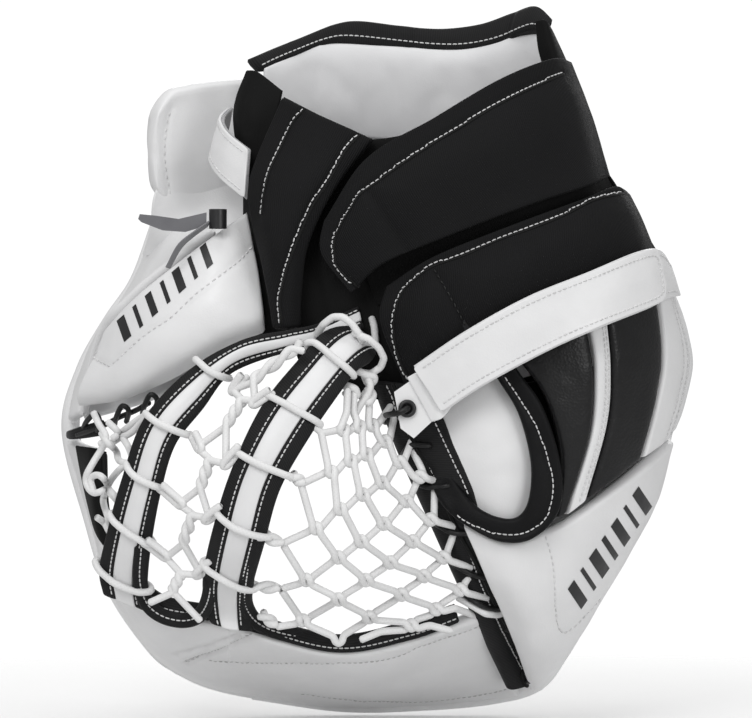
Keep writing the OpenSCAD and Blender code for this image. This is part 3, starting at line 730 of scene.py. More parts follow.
backhand_net = [
  [[-8, -48, -98], [20, -58, -80], [70, -60, -60], [110, -45, -45], [132, -22, -36], [140, 5, -40]],
  [[-12, -50, -120], [25, -64, -110], [72, -68, -88], [112, -54, -70], [138, -26, -55], [148, 5, -56]],
  [[-2, -50, -150], [28, -64, -138], [72, -68, -115], [112, -58, -95], [144, -30, -78], [156, 0, -74]]]

wrist_pad_net = [
  [[-46, -44, -58], [-20, -50, -20], [20, -54, 4], [60, -48, 28], [92, -25, 42], [104, 5, 42]],
  [[-48, -46, -78], [-18, -56, -50], [30, -62, -28], [75, -55, -8], [105, -28, 6], [117, 5, 8]],
  [[-30, -46, -102], [-10, -54, -84], [28, -60, -68], [75, -58, -50], [110, -40, -38], [128, -5, -30]]]

wing_net = [
  [[-72, -24, 20], [-50, -36, 8], [-28, -40, -2], [-16, -40, -8]],
  [[-92, -26, -30], [-74, -40, -32], [-54, -46, -36], [-40, -42, -40]],
  [[-94, -30, -60], [-80, -44, -66], [-66, -48, -70], [-56, -42, -74]],
  [[-84, -42, -120], [-76, -47, -120], [-68, -48, -120], [-60, -44, -120]]]

gusset_net = [
  [[-96, 7, 38], [-88, -1, 36], [-74, -10, 24]],
  [[-104, 6, 14], [-95, -6, 10], [-81, -12, 4]],
  [[-102, 4, -10], [-97, -6, -12], [-88, -12, -14]],
  [[-98, 4, -38], [-97, -6, -40], [-94, -12, -42]]]

liner_net = [
  [[-40, -24, -8], [0, -32, -5], [40, -34, 10], [78, -20, 26]],
  [[-58, -24, -60], [-10, -32, -62], [40, -38, -55], [95, -22, -35]],
  [[-66, -26, -114], [-20, -32, -130], [30, -38, -135], [85, -34, -112]]]

strap_net = [
  [[8, -64, -146], [39, -72, -125], [76, -76, -104.5], [113, -66, -89.5],
   [143, -44, -77], [158, -22, -75], [167, 2, -84]],
  [[26, -64, -174], [51, -72, -157.5], [89, -76, -137], [121, -69, -123],
   [149, -48, -112], [164, -26, -105], [173, 2, -103]]]

wrist_strap_net = [
  [[-106, 24, 16], [-111, 8, 8], [-106, -8, -2], [-99, -17, -9]],
  [[-112, 28, -14], [-118, 10, -18], [-111, -8, -30], [-101, -19, -40]]]

thumb_back_net = [
  [[-184, 8, -124], [-166, -6, -105], [-140, -16, -84], [-116, -18, -66], [-98, -8, -54]],
  [[-196, 14, -150], [-165, -16, -132], [-136, -30, -114], [-110, -32, -94], [-93, -18, -84]],
  [[-202, 20, -164], [-170, -12, -156], [-140, -28, -142], [-110, -36, -124], [-90, -30, -114]],
  [[-202, 32, -172], [-172, 2, -168], [-142, -14, -156], [-112, -26, -138], [-90, -22, -126]]]

# Rim first, because the panel is seen from the thumb's outer side
thumb_side_net = [
  [[-214, 100, -182], [-204, 100, -150], [-190, 100, -122], [-172, 100, -92], [-158, 98, -54]],
  [[-210, 64, -180], [-201, 60, -147], [-183, 56, -117], [-163, 50, -88], [-142, 46, -56]],
  [[-203, 40, -177], [-188, 22, -122], [-168, 8, -101], [-140, 0, -78], [-116, -4, -60]]]

thumb_inner_net = [
  [[-84, 30, -66], [-104, 42, -68], [-124, 64, -70], [-138, 90, -72]],
  [[-84, 26, -100], [-112, 38, -104], [-144, 60, -110], [-166, 90, -114]],
  [[-88, 14, -130], [-120, 26, -140], [-158, 52, -148], [-188, 90, -154]],
  [[-96, 2, -142], [-124, 12, -158], [-164, 44, -172], [-200, 90, -182]]]

thumb_tip_net = [
  [[-213, 85, -188], [-209, 50, -187], [-200, 34, -184], [-186, 18, -180]],
  [[-213, 85, -193], [-208, 50, -193], [-199, 34, -192], [-187, 20, -190]]]

strap_thumb_net = [
  [[-50, -50, -124], [-51, -52, -131], [-52, -50, -138]],
  [[-68, -52, -124], [-71, -54, -132], [-75, -52, -140]],
  [[-96, -54, -130], [-100, -58, -140], [-104, -54, -152]],
  [[-128, -58, -148], [-124, -64, -160], [-119, -60, -172]],
  [[-156, -56, -178], [-146, -64, -186], [-136, -62, -194]],
  [[-170, -48, -215], [-157, -57, -219], [-145, -56, -222]],
  [[-180, -32, -248], [-166, -41, -252], [-152, -41, -255]],
  [[-186, -14, -272], [-171, -18, -278], [-156, -20, -283]],
  [[-184, -4, -288], [-170, -8, -294], [-154, -10, -299]]]

strap_finger_net = [
  [[-40, -46, -117], [-26, -46, -122], [-11, -44, -131]],
  [[-46, -60, -121], [-32, -66, -129], [-16, -64, -139]],
  [[-62, -71, -142], [-48, -78, -151], [-33, -76, -160]],
  [[-84, -80, -170], [-70, -88, -180], [-54, -86, -188]],
  [[-102, -82, -208], [-88, -90, -214], [-72, -88, -220]],
  [[-114, -70, -245], [-98, -78, -250], [-82, -76, -254]],
  [[-121, -42, -276], [-105, -48, -280], [-90, -46, -282]],
  [[-120, -21, -296], [-106, -24, -299], [-91, -23, -299]],
  [[-117, -18, -305], [-105, -20, -309], [-90, -19, -310]]]

net_finger_net = [
  [[-33, -78, -168], [-29, -70, -170], [-24, -60, -172]],
  [[-48, -84, -190], [-30, -75, -190], [-10, -50, -189]],
  [[-64, -86, -222], [-32, -82, -220], [2, -44, -216]],
  [[-76, -76, -254], [-30, -76, -252], [16, -36, -246]],
  [[-84, -46, -282], [-28, -56, -284], [34, -16, -278]],
  [[-84, -26, -296], [-26, -30, -304], [38, -12, -292]]]

net_middle_net = [
  [[-106, -62, -164], [-96, -74, -166], [-86, -84, -172]],
  [[-130, -64, -196], [-118, -76, -200], [-104, -85, -206]],
  [[-142, -58, -232], [-130, -68, -238], [-118, -72, -244]],
  [[-148, -40, -264], [-136, -46, -270], [-124, -44, -276]]]

net_thumb_net = [
  [[-152, -22, -168], [-151, -36, -169], [-150, -50, -172]],
  [[-176, -4, -190], [-170, -24, -190], [-163, -47, -192]],
  [[-184, 8, -220], [-180, -12, -222], [-175, -38, -222]],
  [[-184, 0, -248], [-184, -10, -252], [-184, -22, -256]]]

# The bands start at the edge that their binding covers and end at the rim
band_thumb_net = [
  [[-185, 36, -200], [-182, 22, -238], [-170, 6, -266], [-148, -2, -287], [-116, -6, -294]],
  [[-193, 42, -198], [-189, 26, -241], [-178, 10, -275], [-152, -2, -299], [-117, -8, -306]],
  [[-202, 62, -197], [-194, 52, -242], [-182, 40, -282], [-156, 30, -318], [-122, 24, -329]],
  [[-209, 82, -196], [-197, 78, -244], [-184, 72, -288], [-158, 66, -327], [-130, 62, -342]],
  [[-214, 99, -194], [-199, 99, -244], [-184, 99, -290], [-159, 99, -330], [-138, 99, -346]]]

band_finger_net = [
  [[-96, -8, -298], [-40, -10, -312], [4, -6, -304], [34, 0, -294]],
  [[-97, -8, -311], [-40, -8, -325], [6, -4, -318], [38, 4, -307]],
  [[-96, 22, -331], [-38, 22, -343], [10, 28, -337], [46, 34, -326]],
  [[-94, 62, -349], [-37, 64, -358], [14, 68, -355], [54, 70, -348]],
  [[-94, 99, -358], [-36, 99, -366], [18, 99, -365], [62, 99, -361]]]

band_gusset_net = [
  [[-113, -6, -296], [-106, -8, -297], [-99, -8, -298]],
  [[-114, -8, -306], [-107, -9, -309], [-100, -8, -311]],
  [[-119, 24, -329], [-109, 23, -331], [-99, 22, -331]],
  [[-127, 62, -343], [-112, 62, -347], [-97, 62, -349]],
  [[-135, 99, -347], [-116, 99, -354], [-97, 99, -358]]]

cuff_lining_net = [
  [[-84, 20, 40], [-50, 44, 56], [-5, 56, 56], [40, 54, 54], [78, 36, 62], [90, 16, 58]],
  [[-84, 22, 26], [-50, 48, 30], [-5, 62, 28], [40, 60, 28], [80, 42, 36], [94, 18, 40]],
  [[-80, 26, 6], [-50, 52, 2], [-5, 66, -2], [45, 64, -2], [88, 50, 8], [100, 28, 18]]]

cuff_shield_net = [
  [[-149, 26, 25], [-118, 44, 33], [-60, 68, 38], [0, 82, 40], [60, 80, 40], [100, 62, 38]],
  [[-155, 28, -8], [-118, 46, -8], [-60, 70, -8], [0, 84, -8], [60, 82, -8], [106, 64, -8]],
  [[-152, 34, -42], [-118, 50, -44], [-60, 72, -44], [0, 86, -44], [60, 86, -44], [110, 72, -42]]]

rim_thumb_path = [[-154, 107, -54], [-168, 107, -92], [-186, 107, -119], [-203, 107, -150],
  [-212, 107, -188], [-198, 107, -244], [-183, 107, -290], [-157, 107, -328], [-140, 107, -341]]

rim_finger_path = [[-94, 107, -356], [-36, 107, -364], [18, 107, -363], [60, 107, -359],
  [88, 107, -351], [104, 107, -331], [128, 107, -290], [154, 107, -240], [170, 107, -192],
  [176, 107, -145], [165, 107, -100], [146, 100, -60], [120, 90, -24]]

# ---------- small helpers for pieces ----------


def shifted(line, amount):
    """A seen line moved sideways on the picture plane, to its left as it runs."""
    q = smooth(np.asarray(line, float), 3.0)
    t = unit(np.gradient(q, axis=0))
    return q + amount * np.stack([-t[:, 1], t[:, 0]], 1)


def welt(name, bvh, lines, body, r=0.7):
    """Thin piping lying along lines of a surface."""
    parts = []
    for line in lines:
        on, n = nearest(bvh, walk(line, 1.6))
        parts.append(tube_parts(on + n * r * 0.25, r, 8))
    join(name, parts, piping_cloth, body)


def decal(name, bvh, bars, body):
    """Thin printed shapes on a surface; bars are four seen corners each."""
    parts = []
    rows, cols = 10, 6
    a, b = (k[..., None] for k in np.meshgrid(np.linspace(0, 1, cols), np.linspace(0, 1, rows)))
    ids = np.arange(rows * cols).reshape(rows, cols)
    faces = np.concatenate([rows_of(ids), rows_of(ids)[:, ::-1] + rows * cols])
    for bar in bars:
        c = np.asarray(bar, float)
        q = ((1 - a) * (1 - b) * c[0] + a * (1 - b) * c[1] + a * b * c[2] + (1 - a) * b * c[3]).reshape(-1, 2)
        on, n = nearest(bvh, seen(bvh, q))
        parts.append((np.concatenate([on + 0.22 * n, on - 0.5 * n]), faces, np.concatenate([q, q])))
    join(name, parts, ink, body)


def bars_along(start, end, tall, wide, lean=0.4):
    """Slanted bars of the given widths spread between two seen points."""
    start, end = np.array(start, float), np.array(end, float)
    d = (end - start) / np.linalg.norm(end - start)
    up = np.array([-d[1], d[0]])
    found = []
    for c, w in zip(np.linspace(start, end, len(wide)), wide):
        rise = (up + lean * d) * tall / 2
        found.append([c - rise - w / 2 * d, c - rise + w / 2 * d, c + rise + w / 2 * d, c + rise - w / 2 * d])
    return found


# ---------- cuff ----------

lining_at, _ = panel("cuff_lining_soft", cuff_lining_net, -3, 0.5, soft_white, "cuff", "cuff_lining",
                     step=3.0, edge=1.6, crown=5.0, wrinkle=0.7, cloth=(3.0, 6.0),
                     creases=[([(-60, 38), (-40, 30), (-22, 8)], 0.8, 7),
                              ([(20, 46), (34, 24), (52, 16)], 0.7, 8),
                              ([(-12, 48), (-4, 26), (2, 2)], 0.5, 6)])

CUFF_IN = [(-88, 36), (-78, 41), (-65, 46), (-45, 54), (-30, 55), (0, 52), (20, 50), (40, 50), (60, 54),
           (80, 62), (90, 60)]
CUFF_OUT = [(-94, 43), (-80, 49), (-60, 57), (-40, 65), (-25, 67), (0, 64), (25, 62), (50, 65), (70, 72),
            (84, 76), (94, 68)]
CUFF_SEW = [(-86, 40), (-78, 44), (-65, 49.5), (-45, 57), (-30, 58.5), (0, 55.5), (20, 53.5), (40, 53.5),
            (60, 57.5), (80, 65.5), (88, 64)]
cuff_in = seen(lining_at, smooth(CUFF_IN, 2.0))
cuff_out = smooth(CUFF_OUT, 2.0)
cuff_out = sample(cuff_out, np.linspace(0, 1, len(cuff_out)), np.linspace(0, 1, len(cuff_in)))
cuff_edge, cuff_edge_at = edging("cuff_top_binding", lining_at, cuff_in, depth(cuff_out, cuff_in[:, 1] + 1.5),
                                 7.0, binding_tape, "cuff", rise=1.6)
stand_for(cuff_edge, "cuff_binding")
sew("cuff_top_stitches", cuff_edge_at, [seen(cuff_edge_at, smooth(CUFF_SEW))], "cuff")
panel("cuff_back_lining", cuff_lining_net, -10, -3.6, nylon, "cuff", "cuff_foam",
      window=(0.03, 0.97, 0.0, 0.97), step=5)

SHIELD_T = 12
shield_at, shield_sewn = panel("cuff_shield_leather", cuff_shield_net, -SHIELD_T, 0, white_leather, "cuff",
                               "cuff_shield", step=3.0, edge=4.0, corners=(20, 10, 12, 10), puff=0.6,
                               wrinkle=0.5, groove=(0.8, 1.4),
                               lines_uv=[[(0.05, 0.95), (0.042, 0.6), (0.045, 0.3), (0.055, 0.16)]])
sew("cuff_shield_stitches", shield_at, shield_sewn, "cuff", pitch=5.0)
k = np.linspace(0.06, 0.95, 60)
back_lines = [on_net(cuff_shield_net, k, 0 * k + v, -SHIELD_T) for v in (0.14, 0.86)]
sew("cuff_shield_back_stitches", shield_at, back_lines, "cuff", pitch=5.0)

SIDE_GUSSET = [[[84, 15, 69], [91, 11, 69], [96, 22, 63]], [[86, 14, 50], [96, 9, 49], [105, 24, 44]],
               [[92, 16, 30], [103, 9, 30], [112, 30, 27]], [[97, 27, 8], [107, 14, 6], [115, 36, 4]]]
panel("cuff_side_nylon", SIDE_GUSSET, -2, 0, deep_nylon, "cuff", "cuff_side_gusset", edge=1.0, step=2.5)

# ---------- wrist: gusset, strap, wing, liner ----------

WIDE_GUSSET = [row[:2] + [[row[2][0] + k, row[2][1] + 2, row[2][2]]]
               for row, k in zip(gusset_net, (1, 4, 8, 9))]
panel("wrist_side_nylon", WIDE_GUSSET, -3, 0, deep_nylon,
      ("palm", "cuff", (-0.1, 0.0, -0.025), (-0.1, 0.0, 0.03)), "wrist_gusset", edge=1.4, step=2.2,
      wrinkle=0.8, cloth=(3.0, 3.0), creases=[([(-90, 32), (-97, 16), (-96, 0)], 0.8, 3.0)])

LONG_STRAP = [row[:3] + [[row[3][0] + 6, row[3][1] - 4, row[3][2] - 4]] for row in wrist_strap_net]
wrist_top_at, wrist_sewn = panel("wrist_strap_leather", LONG_STRAP, 0, 1.6, white_leather, "palm",
                                 "wrist_strap", step=2.2, edge=0.8, puff=0.5, wrinkle=0.3,
                                 corners=(4, 2, 5, 3),
                                 lines_uv=[[(0.04, 0.13), (0.5, 0.12), (0.97, 0.12)],
                                           [(0.04, 0.88), (0.5, 0.88), (0.97, 0.88)]], groove=(0.4, 0.9))
sew("wrist_strap_stitches", wrist_top_at, wrist_sewn, "palm", r=0.4)
panel("wrist_strap_felt_layer", LONG_STRAP, -2.2, -0.1, felt, "palm", "wrist_strap_felt", step=2.2, edge=0.9)

WING_L = [(-60, 14), (-68, 5), (-75, -10), (-82, -25), (-86, -40), (-87, -52)]
WING_R = [(-26, -2), (-35, -12), (-45, -30), (-55, -45), (-62, -60), (-68, -75), (-73, -90), (-76, -105),
          (-75, -120)]
WIDE_WING = [[[row[0][0] - 1, row[0][1] + 1, row[0][2]]] + row[1:] for row in wing_net[:2]] + [
    [[-92, -29, -56], [-80, -44, -62], [-66, -48, -68], [-55, -42, -72]],
    [[-84.5, -36, -88], [-76, -46, -90], [-67, -48, -94], [-59, -43, -98]],
    [[-78.5, -42, -124], [-74, -47, -124], [-68, -48, -124], [-60, -44, -123]]]
wing_at, wing_sewn = panel("wrist_wing_nylon", WIDE_WING, -7, 0, nylon, "palm", "wrist_wing",
                           step=2.0, edge=2.6, puff=0.9, reach=6, seams=[WING_L, WING_R], groove=(1.1, 1.3),
                           wrinkle=0.5)
sew("wrist_wing_stitches", wing_at, wing_sewn, "palm")
wing_piping = [seen(wing_at, shifted(WING_L, 1.6)), seen(wing_at, shifted(WING_R, 1.8))]
welt("wrist_wing_piping", wing_at, wing_piping, "palm")

LONG_LINER = liner_net[:2] + [[[-70, -26, -114], [-24, -32, -130], [30, -38, -135], [85, -34, -112]],
                              [[-62, -24, -146], [-20, -30, -166], [34, -34, -164], [85, -30, -140]]]
panel("wrist_liner_nylon", LONG_LINER, -3, 0, deep_nylon, "palm", "wrist_liner", step=2.6, edge=1.4,
      wrinkle=0.9, creases=[([(-36, -14), (-48, -44), (-52, -80), (-48, -116)], 1.6, 3.2),
                            ([(-22, -16), (-40, -52), (-44, -90)], 1.2, 2.6)])

# Dark cloth that closes the gap beside the thumb
THUMB_GAP = [[[-98, 12, -20], [-84, -14, -22]], [[-98, 8, -50], [-86, -16, -54]],
             [[-96, 4, -84], [-80, -22, -86]], [[-92, 0, -114], [-72, -26, -116]],
             [[-90, 0, -140], [-60, -26, -140]]]
panel("wrist_thumb_nylon", THUMB_GAP, -1.5, 0, deep_nylon, "palm", step=3, edge=0.7, wrinkle=0.5)

# Dark cloth that closes the gap between the two pads, and soft leather under the shield's lower edge
GAP_NET = [[[-24, -34, -84], [28, -46, -60], [75, -46, -42], [108, -30, -30], [126, 4, -22]],
           [[-14, -34, -110], [28, -44, -88], [75, -44, -70], [113, -28, -56], [137, 6, -46]]]
panel("wrist_gap_nylon", GAP_NET, -1.5, 0, deep_nylon, "palm", step=4, edge=0.7)
BRIDGE_NET = [[[-150, 36, -26], [-119, 50, -26], [-86, 62, -26]],
              [[-155, 35, -43], [-121, 46, -44], [-90, 54, -46]],
              [[-158, 46, -60], [-131, 36, -64], [-100, 28, -66]],
              [[-164, 66, -76], [-140, 42, -80], [-106, 18, -82]]]
panel("cuff_skirt_leather", BRIDGE_NET, -2.5, 0, white_leather,
      ("palm", "cuff", (-0.125, 0.05, -0.056), (-0.125, 0.06, -0.038)), step=3, edge=1.4, wrinkle=1.0,
      seams=[[(-148, -33), (-151, -48), (-156, -66)]], groove=(0.8, 1.3), puff=0.6)

# ---------- wrist pad and backhand pad ----------

WP_SEW = [(101, 36), (80, 27), (60, 17), (40, 5), (20, -7), (0, -20), (-15, -31), (-26, -39), (-32, -48),
          (-38, -58), (-42, -68), (-42, -78), (-40, -86), (-30, -96), (-13, -110)]
WP_CROSS = [(-19, -38), (-6, -59), (8, -82)]


def hand_pad(name, net, foam_net, depth_in, body, sew_line, cross_line, cross_stitched=False):
    """A quilted nylon pad with its foam, its rows of stitches and the piping beside them."""
    at, sewn = panel(f"{name}_nylon", net, -1, 1.0, nylon, body, f"{name}_cover", step=2.2, edge=1.0,
                     puff=2.0, reach=10, seams=[sew_line, cross_line], groove=(1.3, 1.5), cloth=(3.0, 3.0),
                     wrinkle=0.35)
    panel(f"{name}_core", foam_net, -depth_in, -2, foam_black, body, f"{name}_foam",
          window=(0.03, 0.97, 0.06, 0.94), step=5)
    sew(f"{name}_stitches", at, sewn[:1], body)
    if cross_stitched:
        sew(f"{name}_cross_stitches", at, sewn[1:], body, thread_black, pitch=4.4, r=0.5, lift=0.4)
    welt(f"{name}_piping", at, [seen(at, shifted(sew_line, 1.7))], body)


hand_pad("wrist_pad", wrist_pad_net, wrist_pad_net, 8, "wrist_pad", WP_SEW, WP_CROSS)

BH_SEW = [(138, -38), (120, -42), (100, -52), (80, -60), (60, -67), (40, -76), (20, -83), (10, -90),
          (0, -100), (-5, -115), (-5, -130), (-1, -145), (5, -156)]
BH_CROSS = [(21, -86), (32, -105), (41, -122)]
LONG_BACK = backhand_net[:2] + [[[4, -47, -161], [31, -57, -150], [74, -61, -128], [113, -54, -106],
                                 [146, -28, -86], [157, 0, -78]]]
hand_pad("backhand_pad", LONG_BACK, backhand_net, 9, "palm", BH_SEW, BH_CROSS, cross_stitched=True)

# ---------- side of the hand, seen from the little finger ----------

HEEL_NET = [[[130, 6, -26], [126, 40, -22], [112, 70, -18]], [[152, 6, -62], [150, 46, -60], [138, 80, -68]],
            [[168, 4, -92], [170, 50, -92], [158, 92, -100]]]
panel("hand_side_nylon", HEEL_NET, -2.5, 0, deep_nylon, "palm", step=3.5, edge=1.2, wrinkle=0.9)
RIM_NET = [[[108, 67, -10], [114, 80, -14], [120, 92, -22]],
           [[134, 78, -70], [144, 90, -68], [152, 101, -64]],
           [[155, 91, -150], [166, 98, -148], [175, 105, -145]],
           [[140, 93, -216], [154, 98, -212], [166, 105, -206]],
           [[114, 94, -266], [128, 98, -266], [142, 105, -264]],
           [[92, 93, -298], [108, 98, -300], [124, 105, -297]],
           [[82, 92, -322], [93, 98, -326], [105, 105, -330]]]
panel("palm_rim_leather", RIM_NET, -1.5, 1.5, white_leather, "palm", step=3.5, edge=1.2, wrinkle=0.7)

# ---------- backhand strap ----------

k = np.linspace(0.8, 0.98, 5)
base_at, base_sewn = panel("strap_leather_base", strap_net, 0, 1.6, white_leather, "palm", "strap_base",
                           step=2.4, edge=0.8, puff=0.3,
                           lines_uv=[[(a, 0.12) for a in k], [(a, 0.88) for a in k],
                                     [(0.8, b) for b in np.linspace(0.12, 0.88, 5)]], groove=(0.4, 0.9))
sew("strap_base_stitches", base_at, base_sewn, "palm", r=0.4)
FOLD_NET = [[[4, -62.0, -153], [13, -64.5, -148], [30, -66, -138]],
            [[19, -62.0, -180], [26, -64.5, -177], [34, -65, -166]]]
panel("strap_anchor_fold", FOLD_NET, -0.2, 1.6, white_leather, "palm", step=1.6, edge=0.8,
      creases=[([(11, -150), (26, -178)], 0.9, 1.6)])
panel("strap_loop_side", strap_net, 1.8, 2.5, hook_pile, "palm", "strap_loop_pile",
      window=(0.32, 0.72, 0.1, 0.9), step=3, edge=0.35)
panel("strap_hook_side", strap_net, 2.9, 3.6, hook_pile, "strap_flap", "strap_hook_pile",
      window=(0.4, 0.72, 0.1, 0.9), step=3, edge=0.35)
flap_at, flap_sewn = panel("strap_leather_flap", strap_net, 3.8, 5.4, white_leather, "strap_flap",
                           "strap_flap", window=(0, 0.78, 0.02, 0.98), step=2.0, edge=0.8, puff=0.5,
                           corners=(2, 11, 2, 11), wrinkle=0.3, groove=(0.4, 0.9),
                           lines_uv=[[(0.02, 0.13), (0.3, 0.13), (0.6, 0.13), (0.73, 0.15), (0.755, 0.3),
                                      (0.755, 0.7), (0.73, 0.85), (0.6, 0.87), (0.3, 0.87), (0.02, 0.87)]])
sew("strap_flap_stitches", flap_at, flap_sewn, "strap_flap", r=0.4)

# ---------- finger side ----------

U_OUT = [(65, -153), (75, -168), (85, -185), (92, -205), (95, -220), (93, -235), (86, -245), (75, -250.3),
         (61, -250.5), (52, -247.7), (40.3, -243), (34, -238)]
U_IN = [(20, -178), (26.6, -192), (35, -210), (43.7, -228.7)]
WIDE_TONGUE = [[[r[0][0] - 7, r[0][1] + 3, r[0][2]], r[1], [r[2][0] + 5, r[2][1] + 1, r[2][2]]]
               for r in tongue_net]
WIDE_TONGUE[-1] = [[x, y, z - 5] for x, y, z in WIDE_TONGUE[-1]]
WIDE_TONGUE[0] = [[x, y, z + 9] for x, y, z in WIDE_TONGUE[0]]
panel("finger_tongue_leather", WIDE_TONGUE, -6, 0, white_leather, "palm", "finger_tongue", step=2.4,
      edge=1.6, crown=1.5, wrinkle=0.5, cloth=(2.5, 3.0),
      creases=[([(40, -196), (54, -198), (70, -192)], 0.6, 5),
               ([(46, -222), (58, -214), (72, -214)], 0.6, 5)])

LONG_BINDING = [[[52, -58, -139], [63, -60, -134]], *opening_binding_net,
                [[39, -44, -223], [25, -41, -231]], [[31, -42, -212], [17, -36, -216]]]
u_bind_at, u_sewn = panel("finger_opening_tape", LONG_BINDING, -5, 0.4, soft_black, "palm",
                          "finger_opening_binding", step=1.8, edge=2.4, seams=[U_OUT], groove=(0.9, 1.2),
                          puff=1.0, reach=4, wrinkle=0.5)
sew("finger_opening_stitches", u_bind_at, u_sewn, "palm")

STRIPES = 6  # the sheet is cut across into six, with a small gap at each cut
k = np.linspace(0.02, 0.98, 6)
for n, (a, b) in enumerate([(0.2, 0.98), (2.02, 2.98)]):
    panel(f"finger_cover_leather_{n + 1}", stripe_net, -PANEL, 0, black_leather, "palm", "finger_cover",
          window=(a / STRIPES, b / STRIPES, 0, 1), step=2.2, edge=2.4, crown=1.8, wrinkle=0.8,
          cloth=(3.0, 3.0))
for n, (a, b) in enumerate([(1.02 / STRIPES, 1.98 / STRIPES), (3.02 / STRIPES, 3.98 / STRIPES)]):
    at, lines = panel(f"finger_stripe_leather_{n + 1}", stripe_net, -PANEL, 0.4, white_leather, "palm",
                      "finger_stripes", window=(a, b, 0, 1), step=2.0, edge=2.0, puff=0.6, reach=4,
                      groove=(0.6, 1.0), lines_uv=[[(b - inset * (b - a), v) for v in k]
                                                   for inset in (0.13, 0.32)])
    sew(f"finger_stripe_stitches_{n + 1}", at, lines, "palm", pitch=3.6, r=0.42)
panel("finger_side_leather", stripe_net, -PANEL, 0, white_leather, "palm", "finger_side_wall",
      window=(4.04 / STRIPES, 1, 0, 0.985), step=3, edge=3.0, puff=0.8, wrinkle=0.6)

FP_SEW = [(89, -247), (95, -270), (101, -312), (130, -285), (150, -262)]
finger_at, finger_sewn = panel("finger_perimeter_leather", finger_back_net, -PANEL, 0, white_leather, "palm",
                               "finger_back_panel", step=2.6, edge=3.0, puff=1.0, reach=12,
                               wrinkle=0.7, seams=[FP_SEW], groove=(0.9, 1.4))
sew("finger_perimeter_stitches", finger_at, finger_sewn, "palm", pitch=4.4)
decal("finger_graphic", finger_at, bars_along((110, -288), (150, -230), 14, (7, 3, 8, 4, 7, 3, 7)), "palm")

INDEX_SEW = [(-9, -158), (-5, -166), (-1, -179), (6, -190), (14, -204), (20.4, -214.5), (28, -233.5),
             (37.5, -252.5), (44, -265.7), (50.4, -282.6), (63.4, -310.5), (73.5, -330), (84.7, -351.4)]
INDEX_CORD = [(-4, -158), (1, -170), (9.5, -196), (18, -212), (27.5, -228.7), (35, -246), (46, -266),
              (52, -278), (57, -289), (63.4, -302), (68.7, -311.7), (80, -335), (86.5, -349.6)]
WIDE_INDEX = [row[:3] + [[row[3][0] + k, row[3][1] - d, row[3][2]]]
              for row, k, d in zip(index_net, (7, 7, 4, 0, 0), (3, 9, 13, 0, 0))]
index_at, index_sewn = panel("index_edge_tape", WIDE_INDEX, -SKIN, 0.3, binding_tape, "palm",
                             "index_edge_binding", step=2.0, edge=1.6, puff=0.6, reach=4,
                             seams=[INDEX_SEW, U_IN], groove=(0.8, 1.2))
sew("index_edge_stitches", index_at, index_sewn, "palm")
welt("index_edge_cord", index_at, [seen(index_at, smooth(INDEX_CORD, 2.0))], "palm", 1.5)

# ---------- palm ----------

PALM_T = 12
palm_at, _ = panel("palm_leather", palm_net, -PALM_T, -7, white_leather, "palm", "palm_panel", step=3.0,
                   edge=2.0, wrinkle=0.7)
k = np.linspace(0.04, 0.96, 60)
palm_lines = [on_net(palm_net, k, 0 * k + c, -PALM_T) for c in (0.05, 0.5)]
palm_lines += [on_net(palm_net, 0 * k + c, k, -PALM_T) for c in (0.06, 0.5, 0.94)]
sew("palm_stitches", palm_at, palm_lines, "palm")
panel("palm_crease_leather", crease_net, -3, 0, white_leather,
      ("palm", "thumb", (-0.034, 0.03, -0.08), (-0.078, 0.005, -0.1)), "palm_crease", step=3.0, edge=1.4,
      wrinkle=1.0)
KEPT_NODES = {
    "palm_stiffener": hard_black, "palm_felt": felt, "finger_stalls": deep_nylon, "thumb_stall": deep_nylon,
    "thumb_foam": foam_black, "strap_anchor": white_leather, "anchor_eyelet": hard_black,
    "pull_tab_ring": hard_black}
for node, mat in KEPT_NODES.items():
    coat(node, mat)

# ---------- thumb side ----------

TH_SEW = [(-91, -72), (-101, -82), (-126, -101), (-142, -116), (-157, -126), (-169, -136), (-180, -146.5)]
WIDE_THUMB = [row[:4] + [[row[4][0] + k, row[4][1] + 1, row[4][2] + z]]
              for row, k, z in zip(thumb_back_net, (4, 6, 7, 8), (4, 0, 0, 0))]
thumb_at, thumb_sewn = panel("thumb_back_leather", WIDE_THUMB, -PANEL, 0, white_leather, "thumb",
                             "thumb_back_panel", step=2.2, edge=3.0, puff=1.0, reach=10, wrinkle=0.6,
                             cloth=(3.0, 3.0), groove=(0.9, 1.3),
                             seams=[TH_SEW, [(-180, -146.5), (-190, -141), (-187, -136)]])
decal("thumb_graphic", thumb_at, bars_along((-120, -78), (-171, -123), 13, (5, 3, 6, 3, 5, 3, 6)), "thumb")
sew("thumb_back_stitches", thumb_at, thumb_sewn, "thumb", pitch=4.4, r=0.4)
panel("thumb_side_leather", thumb_side_net, -7, 0, white_leather, "thumb", "thumb_side_panel", step=3.0,
      edge=3.0, puff=0.8, wrinkle=0.6)
panel("thumb_inner_leather", thumb_inner_net, -5, 0, white_leather, "thumb", "thumb_inner_panel", step=3.5,
      edge=2.4)
panel("thumb_tip_tape", thumb_tip_net, -SKIN, 0.4, binding_tape, "thumb", "thumb_tip_binding", step=2.0,
      edge=1.6)
edge_loops = [[(-199, 36, -186), (-196, 26, -181), (-190, 16, -176), (-187, 12, -181), (-189, 22, -187)],
              [(-203, 40, -190), (-194, 27, -187), (-184, 16, -183), (-174, 6, -178), (-164, -2, -174),
               (-155, -8, -169)], [(-178, 14, -184), (-176, 2, -178), (-172, -4, -171), (-168, -4, -174),
                                   (-170, 6, -181)], [(-160, 6, -176), (-158, -8, -171), (-154, -14, -164),
                                                      (-150, -12, -167), (-152, 0, -174)]]
cords("thumb_edge_black_lace", edge_loops, 1.7, lace_black, "thumb", 10, 1.2)
coat("pull_tab", tab_gray)
